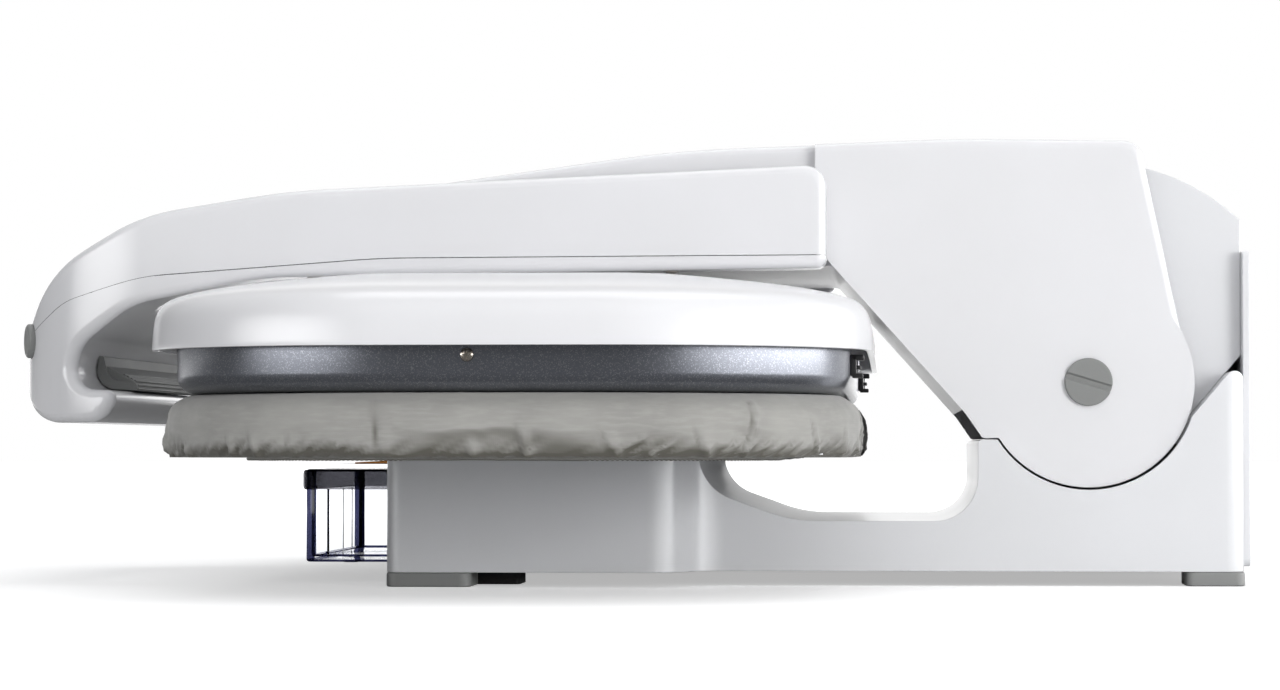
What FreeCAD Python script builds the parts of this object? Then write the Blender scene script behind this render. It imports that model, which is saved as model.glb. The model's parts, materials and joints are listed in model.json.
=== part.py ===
import FreeCAD, Part

import math
import os
import re
from types import SimpleNamespace

# Steam ironing press with a hinged upper arm, a U-shaped handle and a padded board.
# Millimetres. X runs across the press, -Y is the operator's side, Z is up.
# The origin is on the table, under the middle of the press.

Vector = FreeCAD.Vector
Placement = FreeCAD.Placement
Rotation = FreeCAD.Rotation

SIZES = {
    # Whole press
    "overall_depth": 522.0,
    "foot_height": 6.0,
    "seat_gap": 0.3,
    "running_gap": 0.06,
    # Base housing
    "shell_wall": 3.0,
    "tail_half_width": 122.0,
    "pedestal_half_width": 150.0,
    "pedestal_front": 97.7,
    "pedestal_shoulder": 19.0,
    "pedestal_top": 55.0,
    "pedestal_back": 34.0,
    "pedestal_back_height": 40.0,
    "saddle_front": 70.0,
    "saddle_height": 27.0,
    "block_lead": 46.2,
    "ledge_height": 61.0,
    "side_edge_run": 30.0,
    "side_edge_height": 96.5,
    "base_plate_thickness": 2.0,
    "back_panel_thickness": 3.0,
    "back_panel_half_width": 112.0,
    "back_panel_top": 140.0,
    # Feet
    "front_foot_length": 35.5,
    "front_foot_width": 34.0,
    "rubber_pad_length": 21.0,
    "rubber_pad_width": 30.0,
    "rubber_pad_inset": 34.5,
    "rear_foot_length": 24.5,
    "rear_foot_width": 32.0,
    # Hinge tower
    "pivot_inset": 64.5,
    "pivot_z": 85.0,
    "tower_radius": 94.0,
    "tower_half_width": 102.0,
    "tower_lead": 20.0,
    "hinge_pin_radius": 7.0,
    "bush_wall": 4.0,
    "bush_length": 6.0,
    "bracket_thickness": 4.0,
    "spring_rod_radius": 9.0,
    "spring_length": 34.0,
    "spring_wall": 4.0,
    # Arm
    "arm_half_width": 118.0,
    "arm_nose_half_width": 112.0,
    "cheek_wall": 4.0,
    "arm_wall": 3.0,
    "cheek_radius": 44.0,
    "cheek_gap": 1.0,
    "arm_top": 187.3,
    "arm_step_lead": 114.0,
    "arm_edge_radius": 3.5,
    "arm_floor": 137.0,
    "underside_thickness": 3.0,
    "frame_thickness": 4.0,
    "frame_gap": 2.0,
    "cap_radius": 10.0,
    "cap_length": 6.4,
    "cap_slot_width": 2.4,
    "cap_slot_depth": 1.4,
    "cross_tube_radius": 8.0,
    "cross_tube_wall": 1.5,
    # Handle
    "handle_half_width": 146.0,
    "handle_arm_width": 26.5,
    "handle_corner": 66.0,
    "handle_bar_depth": 56.0,
    "handle_wall": 2.5,
    "handle_rear_lead": 109.0,
    "handle_edge_radius": 4.0,
    "shaft_lead": 124.5,
    "shaft_z": 155.0,
    "shaft_radius": 6.0,
    "strap_thickness": 5.0,
    "strap_height": 14.0,
    "crank_radius": 9.7,
    "crank_pin_radius": 3.0,
    "button_radius": 7.3,
    "button_height": 103.2,
    "button_proud": 2.3,
    "button_length": 12.0,
    "button_travel": 2.0,
    "grip_half_length": 92.0,
    # Board and pad
    "board_centre_y": -38.0,
    "board_thickness": 2.5,
    "pad_half_length": 320.0,
    "pad_half_depth": 139.0,
    "pad_corner": 104.0,
    "pad_wrap": 6.0,
    "pad_hem": 34.0,
    "pad_drop": 2.4,
    "pad_top": 78.2,
    # Shoe
    "pan_half_length": 313.0,
    "pan_half_depth": 133.0,
    "pan_corner": 97.0,
    "pan_wall": 2.0,
    "pan_height": 17.3,
    "pan_flange": 1.5,
    "sole_thickness": 5.5,
    "cover_half_length": 325.0,
    "cover_half_depth": 142.5,
    "cover_corner": 106.0,
    "cover_height": 31.1,
    "cover_wall": 2.5,
    "element_radius": 4.0,
    "steam_hole_radius": 2.0,
    "steam_hole_step": 70.0,
    "steam_hole_row": 25.0,
    "steam_hole_outer_row": 98.0,
    "post_radius": 7.0,
    "post_spacing": 120.0,
    "post_top": 150.0,
    "hanger_thickness": 3.0,
    "beam_height": 10.0,
    "beam_half_width": 7.0,
    # Water tank
    "tank_half_width": 80.0,
    "tank_overhang": 44.0,
    "tank_length": 112.0,
    "tank_height": 40.0,
    "tank_wall": 2.2,
    "tank_lid_thickness": 2.2,
    "valve_radius": 6.0,
    "valve_length": 8.0,
    "seat_depth": 12.0,
    "hose_radius": 4.0,
    # Control panel
    "panel_half_width": 80.0,
    "panel_height": 26.0,
    "panel_thickness": 1.6,
    "dial_radius": 10.5,
    "dial_height": 6.5,
    "rocker_width": 16.0,
    "rocker_height": 11.0,
    "rocker_gap": 0.8,
    "rocker_tilt": 6.0,
    "lens_radius": 3.0,
    # Appliance inlet
    "inlet_width": 28.0,
    "inlet_height": 20.0,
    "inlet_depth": 18.0,
    "inlet_wall": 2.0,
}

SMALLEST_EDGE = 0.001
SMALLEST_TURN = 0.5
OVERSHOOT = 5.0
FAR = 400.0
STEAM_COLUMNS = 8

doc = FreeCAD.newDocument("SteamPress")
sheet = doc.addObject("Spreadsheet::Sheet", "Sizes")
for row, (name, number) in enumerate(SIZES.items(), start=1):
    sheet.set("A%d" % row, name)
    sheet.set("B%d" % row, str(number))
    sheet.setAlias("B%d" % row, name)
doc.recompute()
size = SimpleNamespace(**{name: float(sheet.get(name)) for name in SIZES})

nodes = []


# Building helpers


def bind(part, **formulas):
    """Bind properties to formulas written with the names in the sheet."""
    for prop, formula in formulas.items():
        part.setExpression(prop.replace("__", "."), re.sub(r"[a-z]\w*", r"Sizes.\g<0>", formula))


def rounded(corners, closed=True):
    """Lines and tangent arcs through corners given as (across, up) or (across, up, radius)."""
    points = [Vector(corner[0], corner[1]) for corner in corners]
    radii = [corner[2] if len(corner) > 2 else 0 for corner in corners]
    count = len(points)
    legs = []
    for index, point in enumerate(points):
        if not radii[index]:
            legs.append((point, point, point))
            continue
        back = (points[index - 1] - point).normalize()
        ahead = (points[(index + 1) % count] - point).normalize()
        half_angle = back.getAngle(ahead) / 2
        setback = radii[index] / math.tan(half_angle)
        depth = radii[index] / math.sin(half_angle) - radii[index]
        middle = point + (back + ahead).normalize() * depth
        legs.append((point + back * setback, middle, point + ahead * setback))
    edges = []
    for index, (start, middle, end) in enumerate(legs):
        if radii[index]:
            edges.append(Part.Arc(start, middle, end))
        following = legs[(index + 1) % count][0]
        if (closed or index + 1 < count) and end.distanceToPoint(following) > SMALLEST_EDGE:
            edges.append(Part.LineSegment(end, following))
    return edges


def inset(corners, distance):
    """An anticlockwise outline drawn in by a distance."""
    drawn_in = []
    for index, corner in enumerate(corners):
        point = Vector(corner[0], corner[1])
        before = Vector(*corners[index - 1][:2])
        after = Vector(*corners[(index + 1) % len(corners)][:2])
        arriving = (point - before).normalize()
        leaving = (after - point).normalize()
        inward = Vector(-arriving.y, arriving.x) + Vector(-leaving.y, leaving.x)
        moved = point + inward * (distance / (1 + arriving.dot(leaving)))
        radius = corner[2] if len(corner) > 2 else 0
        if radius:
            convex = arriving.x * leaving.y > arriving.y * leaving.x
            radius = max(radius - distance, 0) if convex else radius + distance
        drawn_in.append((moved.x, moved.y, radius))
    return drawn_in


def rounded_rectangle(half_x, half_y, radius, centre_y=0.0):
    return [
        (-half_x, centre_y - half_y, radius),
        (half_x, centre_y - half_y, radius),
        (half_x, centre_y + half_y, radius),
        (-half_x, centre_y + half_y, radius),
    ]


def add_sketch(body, name, plane, corners, start):
    """A closed outline on one of the body's own planes, moved along its normal by a formula."""
    sketch = body.newObject("Sketcher::SketchObject", name)
    support = [feature for feature in body.Origin.OriginFeatures if feature.Role == plane]
    sketch.AttachmentSupport = [(support[0], "")]
    sketch.MapMode = "FlatFace"
    for edge in rounded(corners):
        sketch.addGeometry(edge, False)
    bind(sketch, AttachmentOffset__Base__z=start)
    return sketch


def pad(name, plane, corners, length, start="0", both_ways=False):
    """An outline padded square to its plane."""
    body = doc.addObject("PartDesign::Body", name)
    feature_sketch = add_sketch(body, name + "_outline", plane, corners, start)
    feature = body.newObject("PartDesign::Pad", name + "_pad")
    feature.Profile = feature_sketch
    feature.SideType = "Symmetric" if both_ways else "One side"
    bind(feature, Length=length)
    return body


def loft(name, corners, sections):
    """A solid through drawn-in copies of one plan outline, given as (inset, height)."""
    body = doc.addObject("PartDesign::Body", name)
    sketches = []
    for index, (distance, height) in enumerate(sections):
        outline = inset(corners, distance)
        sketches.append(add_sketch(body, "%s_ring%d" % (name, index), "XY_Plane", outline, str(height)))
    feature = body.newObject("PartDesign::AdditiveLoft", name + "_loft")
    feature.Profile = sketches[0]
    feature.Sections = sketches[1:]
    feature.Ruled = True
    return body


def cylinder(name, radius, length, at, along=Vector(1, 0, 0)):
    """A round bar; radius and length are formulas."""
    part = doc.addObject("Part::Cylinder", name)
    bind(part, Radius=radius, Height=length)
    part.Placement = Placement(at, Rotation(Vector(0, 0, 1), along))
    return part


def box(name, length, width, height, at, turn=Rotation()):
    """A block; its three sizes are formulas, and at is its lowest corner."""
    part = doc.addObject("Part::Box", name)
    bind(part, Length=length, Width=width, Height=height)
    part.Placement = Placement(at, turn)
    return part


def cut(name, base, *tools):
    """The base with each tool taken away in turn."""
    result = base
    for index, tool in enumerate(tools):
        feature = doc.addObject("Part::Cut", "%s_cut%d" % (name, index))
        feature.Base = result
        feature.Tool = tool
        result = feature
    return result


def fuse(name, *parts):
    feature = doc.addObject("Part::MultiFuse", name + "_joined")
    feature.Shapes = list(parts)
    feature.Refine = True
    return feature


def common(name, *parts):
    feature = doc.addObject("Part::MultiCommon", name + "_common")
    feature.Shapes = list(parts)
    return feature


def mirrored(part):
    """The same piece on the other side of the middle plane."""
    feature = doc.addObject("Part::Mirroring", part.Name + "_mirrored")
    feature.Source = part
    feature.Normal = Vector(1, 0, 0)
    return feature


def group(name, *parts):
    """Separate solids that share one node."""
    feature = doc.addObject("Part::Compound", name + "_group")
    feature.Links = list(parts)
    return feature


def pair(name, part):
    return group(name, part, mirrored(part))


def rounded_edges(name, part, radius, chosen):
    """Round the edges whose middle point and two face normals pass a test; radius is a formula."""
    doc.recompute()
    shape = part.Shape
    picked = []
    for number, edge in enumerate(shape.Edges, start=1):
        faces = shape.ancestorsOfType(edge, Part.Face)
        if len(faces) != 2:
            continue
        middle = edge.valueAt((edge.FirstParameter + edge.LastParameter) / 2)
        normals = [face.normalAt(*face.Surface.parameter(middle)) for face in faces]
        if normals[0].getAngle(normals[1]) > SMALLEST_TURN and chosen(middle, normals):
            picked.append((number, radius, radius))
    feature = doc.addObject("Part::Fillet", name + "_rounded")
    feature.Base = part
    feature.Edges = picked
    return feature


def node(name, part):
    """Give a finished piece its name and keep it for writing."""
    part.Label = name
    nodes.append(part)
    return part


# Places worked out from the sizes

base_rear = size.overall_depth / 2 - size.back_panel_thickness
pivot_y = base_rear - size.pivot_inset
block_front = pivot_y - size.block_lead
side_edge_front = base_rear - size.side_edge_run
arm_step = pivot_y - size.arm_step_lead
shaft_y = pivot_y - size.shaft_lead
handle_rear = pivot_y - size.handle_rear_lead
front_y = -size.pedestal_front
floor_z = size.foot_height
plate_top = floor_z + size.base_plate_thickness
tower_front = pivot_y - size.tower_lead
pan_bottom = size.pad_top + size.seat_gap
cover_bottom = pan_bottom + size.pan_height - size.seat_gap
frame_inner = size.tower_half_width + size.frame_gap
frame_outer = frame_inner + size.frame_thickness
cheek_inner = size.arm_half_width - size.cheek_wall
upward = Vector(0, 0, 1)


# Base housing, open below

def base_profile():
    """Side view of the base: pedestal, saddle and rear block."""
    return [
        (front_y, floor_z),
        (base_rear, floor_z),
        (base_rear, size.side_edge_height, 4),
        (side_edge_front, size.ledge_height),
        (block_front, size.ledge_height, 2),
        (block_front, size.saddle_height, 18),
        (size.saddle_front, size.saddle_height, 60),
        (size.pedestal_back, size.pedestal_back_height, 20),
        (size.pedestal_back - 3.5, size.pedestal_top),
        (front_y, size.pedestal_top),
    ]


def base_plan():
    """The base seen from above, stepping in from the pedestal to the tail."""
    wide = size.pedestal_half_width
    narrow = size.tail_half_width
    shoulder = size.pedestal_shoulder
    step_end = shoulder + (wide - narrow) / 2
    return [
        (-wide, front_y, 7),
        (wide, front_y, 7),
        (wide, shoulder, 14),
        (narrow, step_end, 14),
        (narrow, base_rear, 8),
        (-narrow, base_rear, 8),
        (-narrow, step_end, 14),
        (-wide, shoulder, 14),
    ]


def open_below(corners):
    """Let the first two corners of a side view run out through the floor."""
    return [(corner[0], -OVERSHOOT) for corner in corners[:2]] + corners[2:]


base_width = "2 * pedestal_half_width + 20"
base_outer = common(
    "base_outer",
    pad("base_side", "YZ_Plane", base_profile(), base_width, both_ways=True),
    pad("base_top_view", "XY_Plane", base_plan(), "side_edge_height", start="foot_height"),
)
base_inner = common(
    "base_inner",
    pad("base_side_inner", "YZ_Plane", open_below(inset(base_profile(), size.shell_wall)), base_width,
        both_ways=True),
    pad("base_top_view_inner", "XY_Plane", inset(base_plan(), size.shell_wall), "2 * side_edge_height",
        start="-side_edge_height"),
)
cheek_well = cylinder(
    "cheek_well", "cheek_radius + cheek_gap", "pedestal_half_width",
    Vector(size.tower_half_width + size.frame_gap / 2, pivot_y, size.pivot_z),
)
tank_bay = box(
    "tank_bay", "2 * tank_half_width + 4", "20", "tank_height + tank_lid_thickness + 7.5",
    Vector(-size.tank_half_width - 2, front_y - 10, plate_top - OVERSHOOT),
)
inlet_x = 60.0
inlet_z = 38.0
inlet_hole = box(
    "inlet_hole", "inlet_width", "60", "inlet_height",
    Vector(inlet_x - size.inlet_width / 2, base_rear - 30, inlet_z - size.inlet_height / 2),
)
base_shell = cut("base_shell", base_outer, base_inner, cheek_well, mirrored(cheek_well), tank_bay, inlet_hole)
node("base_shell", base_shell)

base_plate = pad(
    "base_plate_body", "XY_Plane", inset(base_plan(), size.shell_wall + size.seat_gap),
    "base_plate_thickness", start="foot_height",
)
node("base_plate", base_plate)


# Feet

def foot(name, x_outer, y_front, width, length, radius):
    """A rounded block from the table up to the base."""
    x_inner = x_outer - width
    corners = [
        (x_inner, y_front, radius),
        (x_outer, y_front, radius),
        (x_outer, y_front + length, radius),
        (x_inner, y_front + length, radius),
    ]
    return pair(name, pad(name + "_block", "XY_Plane", corners, "foot_height"))


node("front_feet", foot("front_feet", size.pedestal_half_width, front_y, size.front_foot_width,
                        size.front_foot_length, 5))
node("front_rubber_pads", foot("front_rubber_pads", size.pedestal_half_width - size.rubber_pad_inset,
                               front_y + size.front_foot_length - 4, size.rubber_pad_width,
                               size.rubber_pad_length, 2))
node("rear_feet", foot("rear_feet", size.tail_half_width, base_rear - size.rear_foot_length,
                       size.rear_foot_width, size.rear_foot_length, 4))


# Hinge tower that the arm's cheeks straddle

def tower_profile():
    return [
        (tower_front, size.ledge_height),
        (side_edge_front, size.ledge_height),
        (base_rear, size.side_edge_height),
        (base_rear, FAR),
        (tower_front, FAR),
    ]


def tower_inside():
    wall = size.shell_wall
    return [
        (tower_front + wall, 0),
        (base_rear - wall, 0),
        (base_rear - wall, FAR),
        (tower_front + wall, FAR),
    ]


pivot_left = Vector(-FAR / 2, pivot_y, size.pivot_z)
tower_outer = common(
    "tower_outer",
    pad("tower_side", "YZ_Plane", tower_profile(), "2 * tower_half_width", both_ways=True),
    cylinder("tower_crown", "tower_radius", "400", pivot_left),
)
tower_inner = common(
    "tower_inner",
    pad("tower_side_inner", "YZ_Plane", tower_inside(), "2 * (tower_half_width - shell_wall)",
        both_ways=True),
    cylinder("tower_crown_inner", "tower_radius - shell_wall", "400", pivot_left),
)
pin_passage = cylinder("pin_passage", "hinge_pin_radius + bush_wall + 1", "400", pivot_left)
node("rear_tower", cut("rear_tower", tower_outer, tower_inner, pin_passage))

bracket_half_width = size.tower_half_width - size.shell_wall - 3
bracket_outline = [
    (pivot_y - 15.5, size.ledge_height),
    (pivot_y + 32.0, size.ledge_height),
    (pivot_y + 16, size.pivot_z + 16, 12),
    (pivot_y - 15.5, size.pivot_z + 16, 12),
]
bracket_between = box(
    "bracket_between", "2 * (tower_half_width - shell_wall - 3 - bracket_thickness)", "200", "200",
    Vector(size.bracket_thickness - bracket_half_width, pivot_y - 100,
           size.ledge_height + size.bracket_thickness),
)
bush_seat = cylinder("bush_seat", "hinge_pin_radius + bush_wall", "400", pivot_left)
bracket_blank = pad("hinge_bracket_blank", "YZ_Plane", bracket_outline,
                    "2 * (tower_half_width - shell_wall - 3)", both_ways=True)
node("hinge_bracket", cut("hinge_bracket", bracket_blank, bracket_between, bush_seat))

bush_start = bracket_half_width - size.bracket_thickness - 0.5
bush_at = Vector(bush_start, pivot_y, size.pivot_z)
bush = cut(
    "hinge_bush",
    cylinder("bush_body", "hinge_pin_radius + bush_wall", "bush_length", bush_at),
    cylinder("bush_bore", "hinge_pin_radius + running_gap", "bush_length", bush_at),
)
node("hinge_bushes", pair("hinge_bushes", bush))

node("spring_rod", cylinder(
    "spring_rod_bar", "spring_rod_radius", "2 * (tower_half_width - shell_wall - 3.5 - bracket_thickness)",
    Vector(-bush_start, pivot_y, size.pivot_z),
))
spring_at = Vector(bush_start - size.spring_length - 4, pivot_y, size.pivot_z)
spring = cut(
    "lift_spring",
    cylinder("spring_sleeve", "spring_rod_radius + spring_wall", "spring_length", spring_at),
    cylinder("spring_core", "spring_rod_radius", "spring_length", spring_at),
)
node("lift_springs", pair("lift_springs", spring))


# Back panel and appliance inlet

panel_plan = rounded_rectangle(size.back_panel_half_width, (size.back_panel_top - plate_top) / 2, 4,
                               (size.back_panel_top + plate_top) / 2)
back_panel = pad("back_panel_plate", "XZ_Plane", panel_plan, "back_panel_thickness",
                 start="-overall_depth / 2")
node("back_panel", cut("back_panel", back_panel, inlet_hole))

inlet_front = size.overall_depth / 2 - size.inlet_depth - size.inlet_wall
inlet_block = box(
    "inlet_block", "inlet_width", "inlet_depth + inlet_wall", "inlet_height",
    Vector(inlet_x - size.inlet_width / 2, inlet_front, inlet_z - size.inlet_height / 2),
)
inlet_recess = box(
    "inlet_recess", "inlet_width - 2 * inlet_wall", "inlet_depth + 1", "inlet_height - 2 * inlet_wall",
    Vector(inlet_x - size.inlet_width / 2 + size.inlet_wall, inlet_front + size.inlet_wall,
           inlet_z - size.inlet_height / 2 + size.inlet_wall),
)
inlet_pins = []
for step, rise in ((-7.0, -2.0), (0.0, 2.0), (7.0, -2.0)):
    inlet_pins.append(box("inlet_pin", "2", "12", "4",
                          Vector(inlet_x + step - 1, inlet_front + size.inlet_wall, inlet_z + rise - 2)))
node("power_inlet", cut("power_inlet", inlet_block, inlet_recess))
node("inlet_pins", group("inlet_pins", *inlet_pins))


# Board and its padded cover

def pad_plan():
    return rounded_rectangle(size.pad_half_length, size.pad_half_depth, size.pad_corner, size.board_centre_y)


board_top = size.pedestal_top + size.board_thickness
node("board_plate", pad("board_sheet", "XY_Plane", inset(pad_plan(), size.pad_wrap), "board_thickness",
                        start="pedestal_top"))

pad_bottom = size.pedestal_top - size.pad_drop
pad_rise = size.pad_top - pad_bottom
pad_solid = loft("board_pad_form", pad_plan(), [
    (13.0, pad_bottom),
    (4.5, pad_bottom + 0.08 * pad_rise),
    (1.0, pad_bottom + 0.30 * pad_rise),
    (0.0, pad_bottom + 0.62 * pad_rise),
    (4.5, pad_bottom + 0.88 * pad_rise),
    (16.0, size.pad_top),
])
board_space = pad("board_space", "XY_Plane", inset(pad_plan(), size.pad_wrap - size.seat_gap),
                  "board_thickness + 2 * seat_gap", start="pedestal_top - seat_gap")
hem_opening = pad("hem_opening", "XY_Plane", inset(pad_plan(), size.pad_hem), "20", start="pedestal_top - 20")
node("board_pad", cut("board_pad", pad_solid, board_space, hem_opening))


# Shoe: heated pan, sole, element and crowned cover

def pan_plan():
    return rounded_rectangle(size.pan_half_length, size.pan_half_depth, size.pan_corner, size.board_centre_y)


def cover_plan():
    return rounded_rectangle(size.cover_half_length, size.cover_half_depth, size.cover_corner,
                             size.board_centre_y)


pan_rim = pan_bottom + size.pan_height
wall = size.pan_wall
pan_outer = loft("pan_outer", pan_plan(), [
    (7.0, pan_bottom),
    (2.05, pan_bottom + 2.05),
    (0.0, pan_bottom + 7.0),
    (0.0, pan_rim),
])
pan_inner = loft("pan_inner", pan_plan(), [
    (7.0 + wall, pan_bottom + wall),
    (2.6 + wall, pan_bottom + wall + 1.8),
    (wall, pan_bottom + wall + 6.0),
    (wall, pan_rim + OVERSHOOT),
])
pan_flange = pad("pan_flange_ring", "XY_Plane", inset(cover_plan(), size.cover_wall + size.seat_gap),
                 "pan_flange", start="pad_top + seat_gap + pan_height")
steam_hole_set = []
steam_rows = (
    -size.steam_hole_outer_row, -size.steam_hole_row,
    size.steam_hole_row, size.steam_hole_outer_row,
)
for column in range(-STEAM_COLUMNS + 1, STEAM_COLUMNS, 2):
    for row_y in steam_rows:
        hole_x = column * size.steam_hole_step / 2
        hole_at = Vector(hole_x, size.board_centre_y + row_y, pan_bottom - OVERSHOOT)
        steam_hole_set.append(cylinder("steam_hole", "steam_hole_radius", "30", hole_at, upward))
steam_holes = group("steam_holes", *steam_hole_set)
node("shoe_pan", cut("shoe_pan", fuse("shoe_pan", pan_outer, pan_flange), pan_inner, steam_holes))

sole_bottom = pan_bottom + wall
sole_top = sole_bottom + size.sole_thickness
sole_casting = pad("sole_casting", "XY_Plane", inset(pan_plan(), 8.0 + wall), "sole_thickness",
                   start="pad_top + seat_gap + pan_wall")
node("sole_plate", cut("sole_plate", sole_casting, steam_holes))

element_plan = [
    (50.0, 70.0),
    (250.0, 70.0, 50.0),
    (250.0, -70.0, 50.0),
    (-250.0, -70.0, 50.0),
    (-250.0, 70.0, 50.0),
    (-50.0, 70.0),
]
element_path = Part.Wire([edge.toShape() for edge in rounded(element_plan, closed=False)])
element_section = Part.Wire(Part.makeCircle(size.element_radius, Vector(*element_plan[0]), Vector(1, 0, 0)))
heating_element = doc.addObject("Part::Feature", "heating_element_tube")
heating_element.Shape = element_path.makePipeShell([element_section], True, False)
heating_element.Placement.Base = Vector(0, size.board_centre_y, sole_top + size.element_radius)
node("heating_element", heating_element)
node("thermostat", cylinder("thermostat_can", "14", "9", Vector(0, size.board_centre_y, sole_top), upward))

crown = cover_bottom + size.cover_height
cover_rings = [
    (0.0, 0.0),
    (0.6, 0.370),
    (2.5, 0.531),
    (7.0, 0.666),
    (25.0, 0.788),
    (47.0, 0.871),
    (75.0, 0.958),
    (98.0, 1.0),
]


def cover_sections(bottom):
    """The cover's rings as (inset, height), from shares of its height."""
    return [(distance, bottom + share * size.cover_height) for distance, share in cover_rings]


cover_outer = loft("cover_outer", cover_plan(), cover_sections(cover_bottom))
cover_inner = loft("cover_inner", inset(cover_plan(), size.cover_wall),
                   cover_sections(cover_bottom - size.cover_wall))
post_x = size.post_spacing / 2
post_hole = cylinder("post_hole", "post_radius + seat_gap", "60",
                     Vector(post_x, size.board_centre_y, crown - 30), upward)
node("shoe_cover", cut("shoe_cover", cover_outer, cover_inner, post_hole, mirrored(post_hole)))

hanger_top = crown - size.cover_wall - 3.5
hanger_bottom = hanger_top - size.hanger_thickness
hanger_plate = box("hanger_plate", "post_spacing + 60", "50", "hanger_thickness",
                   Vector(-post_x - 30, size.board_centre_y - 25, hanger_bottom))
post = doc.addObject("Part::Cylinder", "hanger_post")
bind(post, Radius="post_radius")
post.Height = size.post_top - hanger_bottom
post.Placement.Base = Vector(post_x, size.board_centre_y, hanger_bottom)
node("shoe_hanger", fuse("shoe_hanger", hanger_plate, post, mirrored(post)))

pillar = doc.addObject("Part::Cylinder", "shoe_pillar")
pillar.Radius = 6
pillar.Height = hanger_bottom - sole_top
pillar.Placement.Base = Vector(post_x + 20, size.board_centre_y, sole_top)
node("shoe_pillars", pair("shoe_pillars", pillar))

# The lifting beam ends in a fork that the crank pin of the handle shaft lies in
beam_bottom = size.post_top
crank_y = shaft_y - size.crank_radius
beam_end = shaft_y - size.shaft_radius - 0.7
beam_cross = box("beam_cross", "post_spacing + 2 * post_radius", "2 * post_radius", "beam_height",
                 Vector(-post_x - size.post_radius, size.board_centre_y - size.post_radius, beam_bottom))
beam_bar = doc.addObject("Part::Box", "beam_bar")
bind(beam_bar, Length="2 * beam_half_width", Height="beam_height")
beam_bar.Width = beam_end - size.board_centre_y
beam_bar.Placement.Base = Vector(-size.beam_half_width, size.board_centre_y, beam_bottom)
fork_half = size.crank_pin_radius + 0.6
fork_slot = box("fork_slot", "2 * beam_half_width + 10", "40", "2 * (crank_pin_radius + 0.6)",
                Vector(-size.beam_half_width - 5, crank_y - fork_half, size.shaft_z - fork_half))
node("lifting_beam", cut("lifting_beam", fuse("lifting_beam", beam_cross, beam_bar), fork_slot))

screw_at = Vector(size.pan_half_length, size.board_centre_y - 8, pan_bottom + 13.5)
screw_head = cut(
    "shoe_screw",
    cylinder("screw_dome", "2.6", "1.8", screw_at),
    box("screw_slot_up", "1", "0.8", "3.6", screw_at + Vector(1, -0.4, -1.8)),
    box("screw_slot_across", "1", "3.6", "0.8", screw_at + Vector(1, -1.8, -0.4)),
)
node("shoe_screws", pair("shoe_screws", screw_head))

rear_clip_y = size.board_centre_y + size.pan_half_depth
rear_clip_outline = [
    (rear_clip_y, pan_bottom + 16.0),
    (rear_clip_y, pan_bottom + 9.0),
    (rear_clip_y + 3.2, pan_bottom + 6.5, 1.4),
    (rear_clip_y + 5.6, pan_bottom + 8.0, 1.4),
    (rear_clip_y + 5.6, pan_bottom + 16.0),
]
rear_clip = pad("rear_clip_block", "YZ_Plane", rear_clip_outline, "14", start="190")
node("rear_clips", pair("rear_clips", rear_clip))


# Upper arm: cheeks, top and nose in one shell

nose_front = -114.0
nose_foot = 146.0
nose_crest_y = -84.0
nose_crest = size.arm_top - 18.3
rear_top_y = pivot_y + 21.5
crest_y = pivot_y - 53.5
diagonal_top = (pivot_y - 109.5, size.arm_floor)
diagonal_foot = (pivot_y - 51.2, 72.0)


def arm_profile():
    """The arm in side view, without its hinge disc."""
    return [
        (nose_front, size.arm_floor),
        diagonal_top,
        diagonal_foot + (8,),
        (pivot_y - 44.0, size.ledge_height + 0.5, 2),
        (pivot_y, size.pivot_z - size.cheek_radius / 2),
        (pivot_y + size.cheek_radius - 0.6, size.pivot_z),
        (rear_top_y, size.arm_top - 1.3, 8),
        (crest_y, size.arm_top, 600),
        (20.0, size.arm_top - 4.0, 500),
        (nose_crest_y, nose_crest, 30),
        (nose_front, nose_foot, 4),
    ]


arm_inner_top = size.arm_top - size.arm_wall


def inside_nose():
    """Side view of the space under the arm's top as far as the nose, open below and behind."""
    return [
        (nose_front + size.arm_wall, 0),
        (FAR, 0),
        (FAR, arm_inner_top - 3.0),
        (crest_y, arm_inner_top),
        (20.0, arm_inner_top - 4.0, 500),
        (nose_crest_y, nose_crest - size.arm_wall, 30),
        (nose_front + size.arm_wall, nose_foot - 0.3 * size.arm_wall),
    ]


def inside_cheeks():
    """Side view of the wider space between the cheeks."""
    front = arm_step + size.arm_wall
    return [
        (front, 0),
        (FAR, 0),
        (FAR, arm_inner_top - 3.0),
        (crest_y, arm_inner_top),
        (front, arm_inner_top - (crest_y - front) / 30),
    ]


def outer_top_edge(middle, normals):
    """True on the edges where the arm's sides meet its top."""
    on_side = max(abs(normal.x) for normal in normals) > 0.9
    on_top = max(normal.z for normal in normals) > 0.3
    return on_side and on_top and middle.z > 100


arm_blank = fuse(
    "arm_blank",
    pad("arm_side", "YZ_Plane", arm_profile(), "2 * arm_half_width", both_ways=True),
    cylinder("arm_disc", "cheek_radius", "2 * arm_half_width",
             Vector(-size.arm_half_width, pivot_y, size.pivot_z)),
)
nose_side = box("nose_side", "50", "400", "400", Vector(size.arm_nose_half_width, arm_step - 400, 0))
arm_steps = cut("arm_steps", arm_blank, nose_side, mirrored(nose_side))
arm_outer = rounded_edges("arm_outer", arm_steps, size.arm_edge_radius, outer_top_edge)
arm_between = pad("arm_between", "YZ_Plane", inside_cheeks(), "2 * (arm_half_width - cheek_wall)",
                  both_ways=True)
nose_between = pad("nose_between", "YZ_Plane", inside_nose(), "2 * (arm_nose_half_width - arm_wall)",
                   both_ways=True)
cap_hole = cylinder("cap_hole", "cap_radius", "400", pivot_left)
shaft_left = Vector(-FAR / 2, shaft_y, size.shaft_z)
shaft_bush_hole = cylinder("shaft_bush_hole", "shaft_radius + 3", "400", shaft_left)

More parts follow.
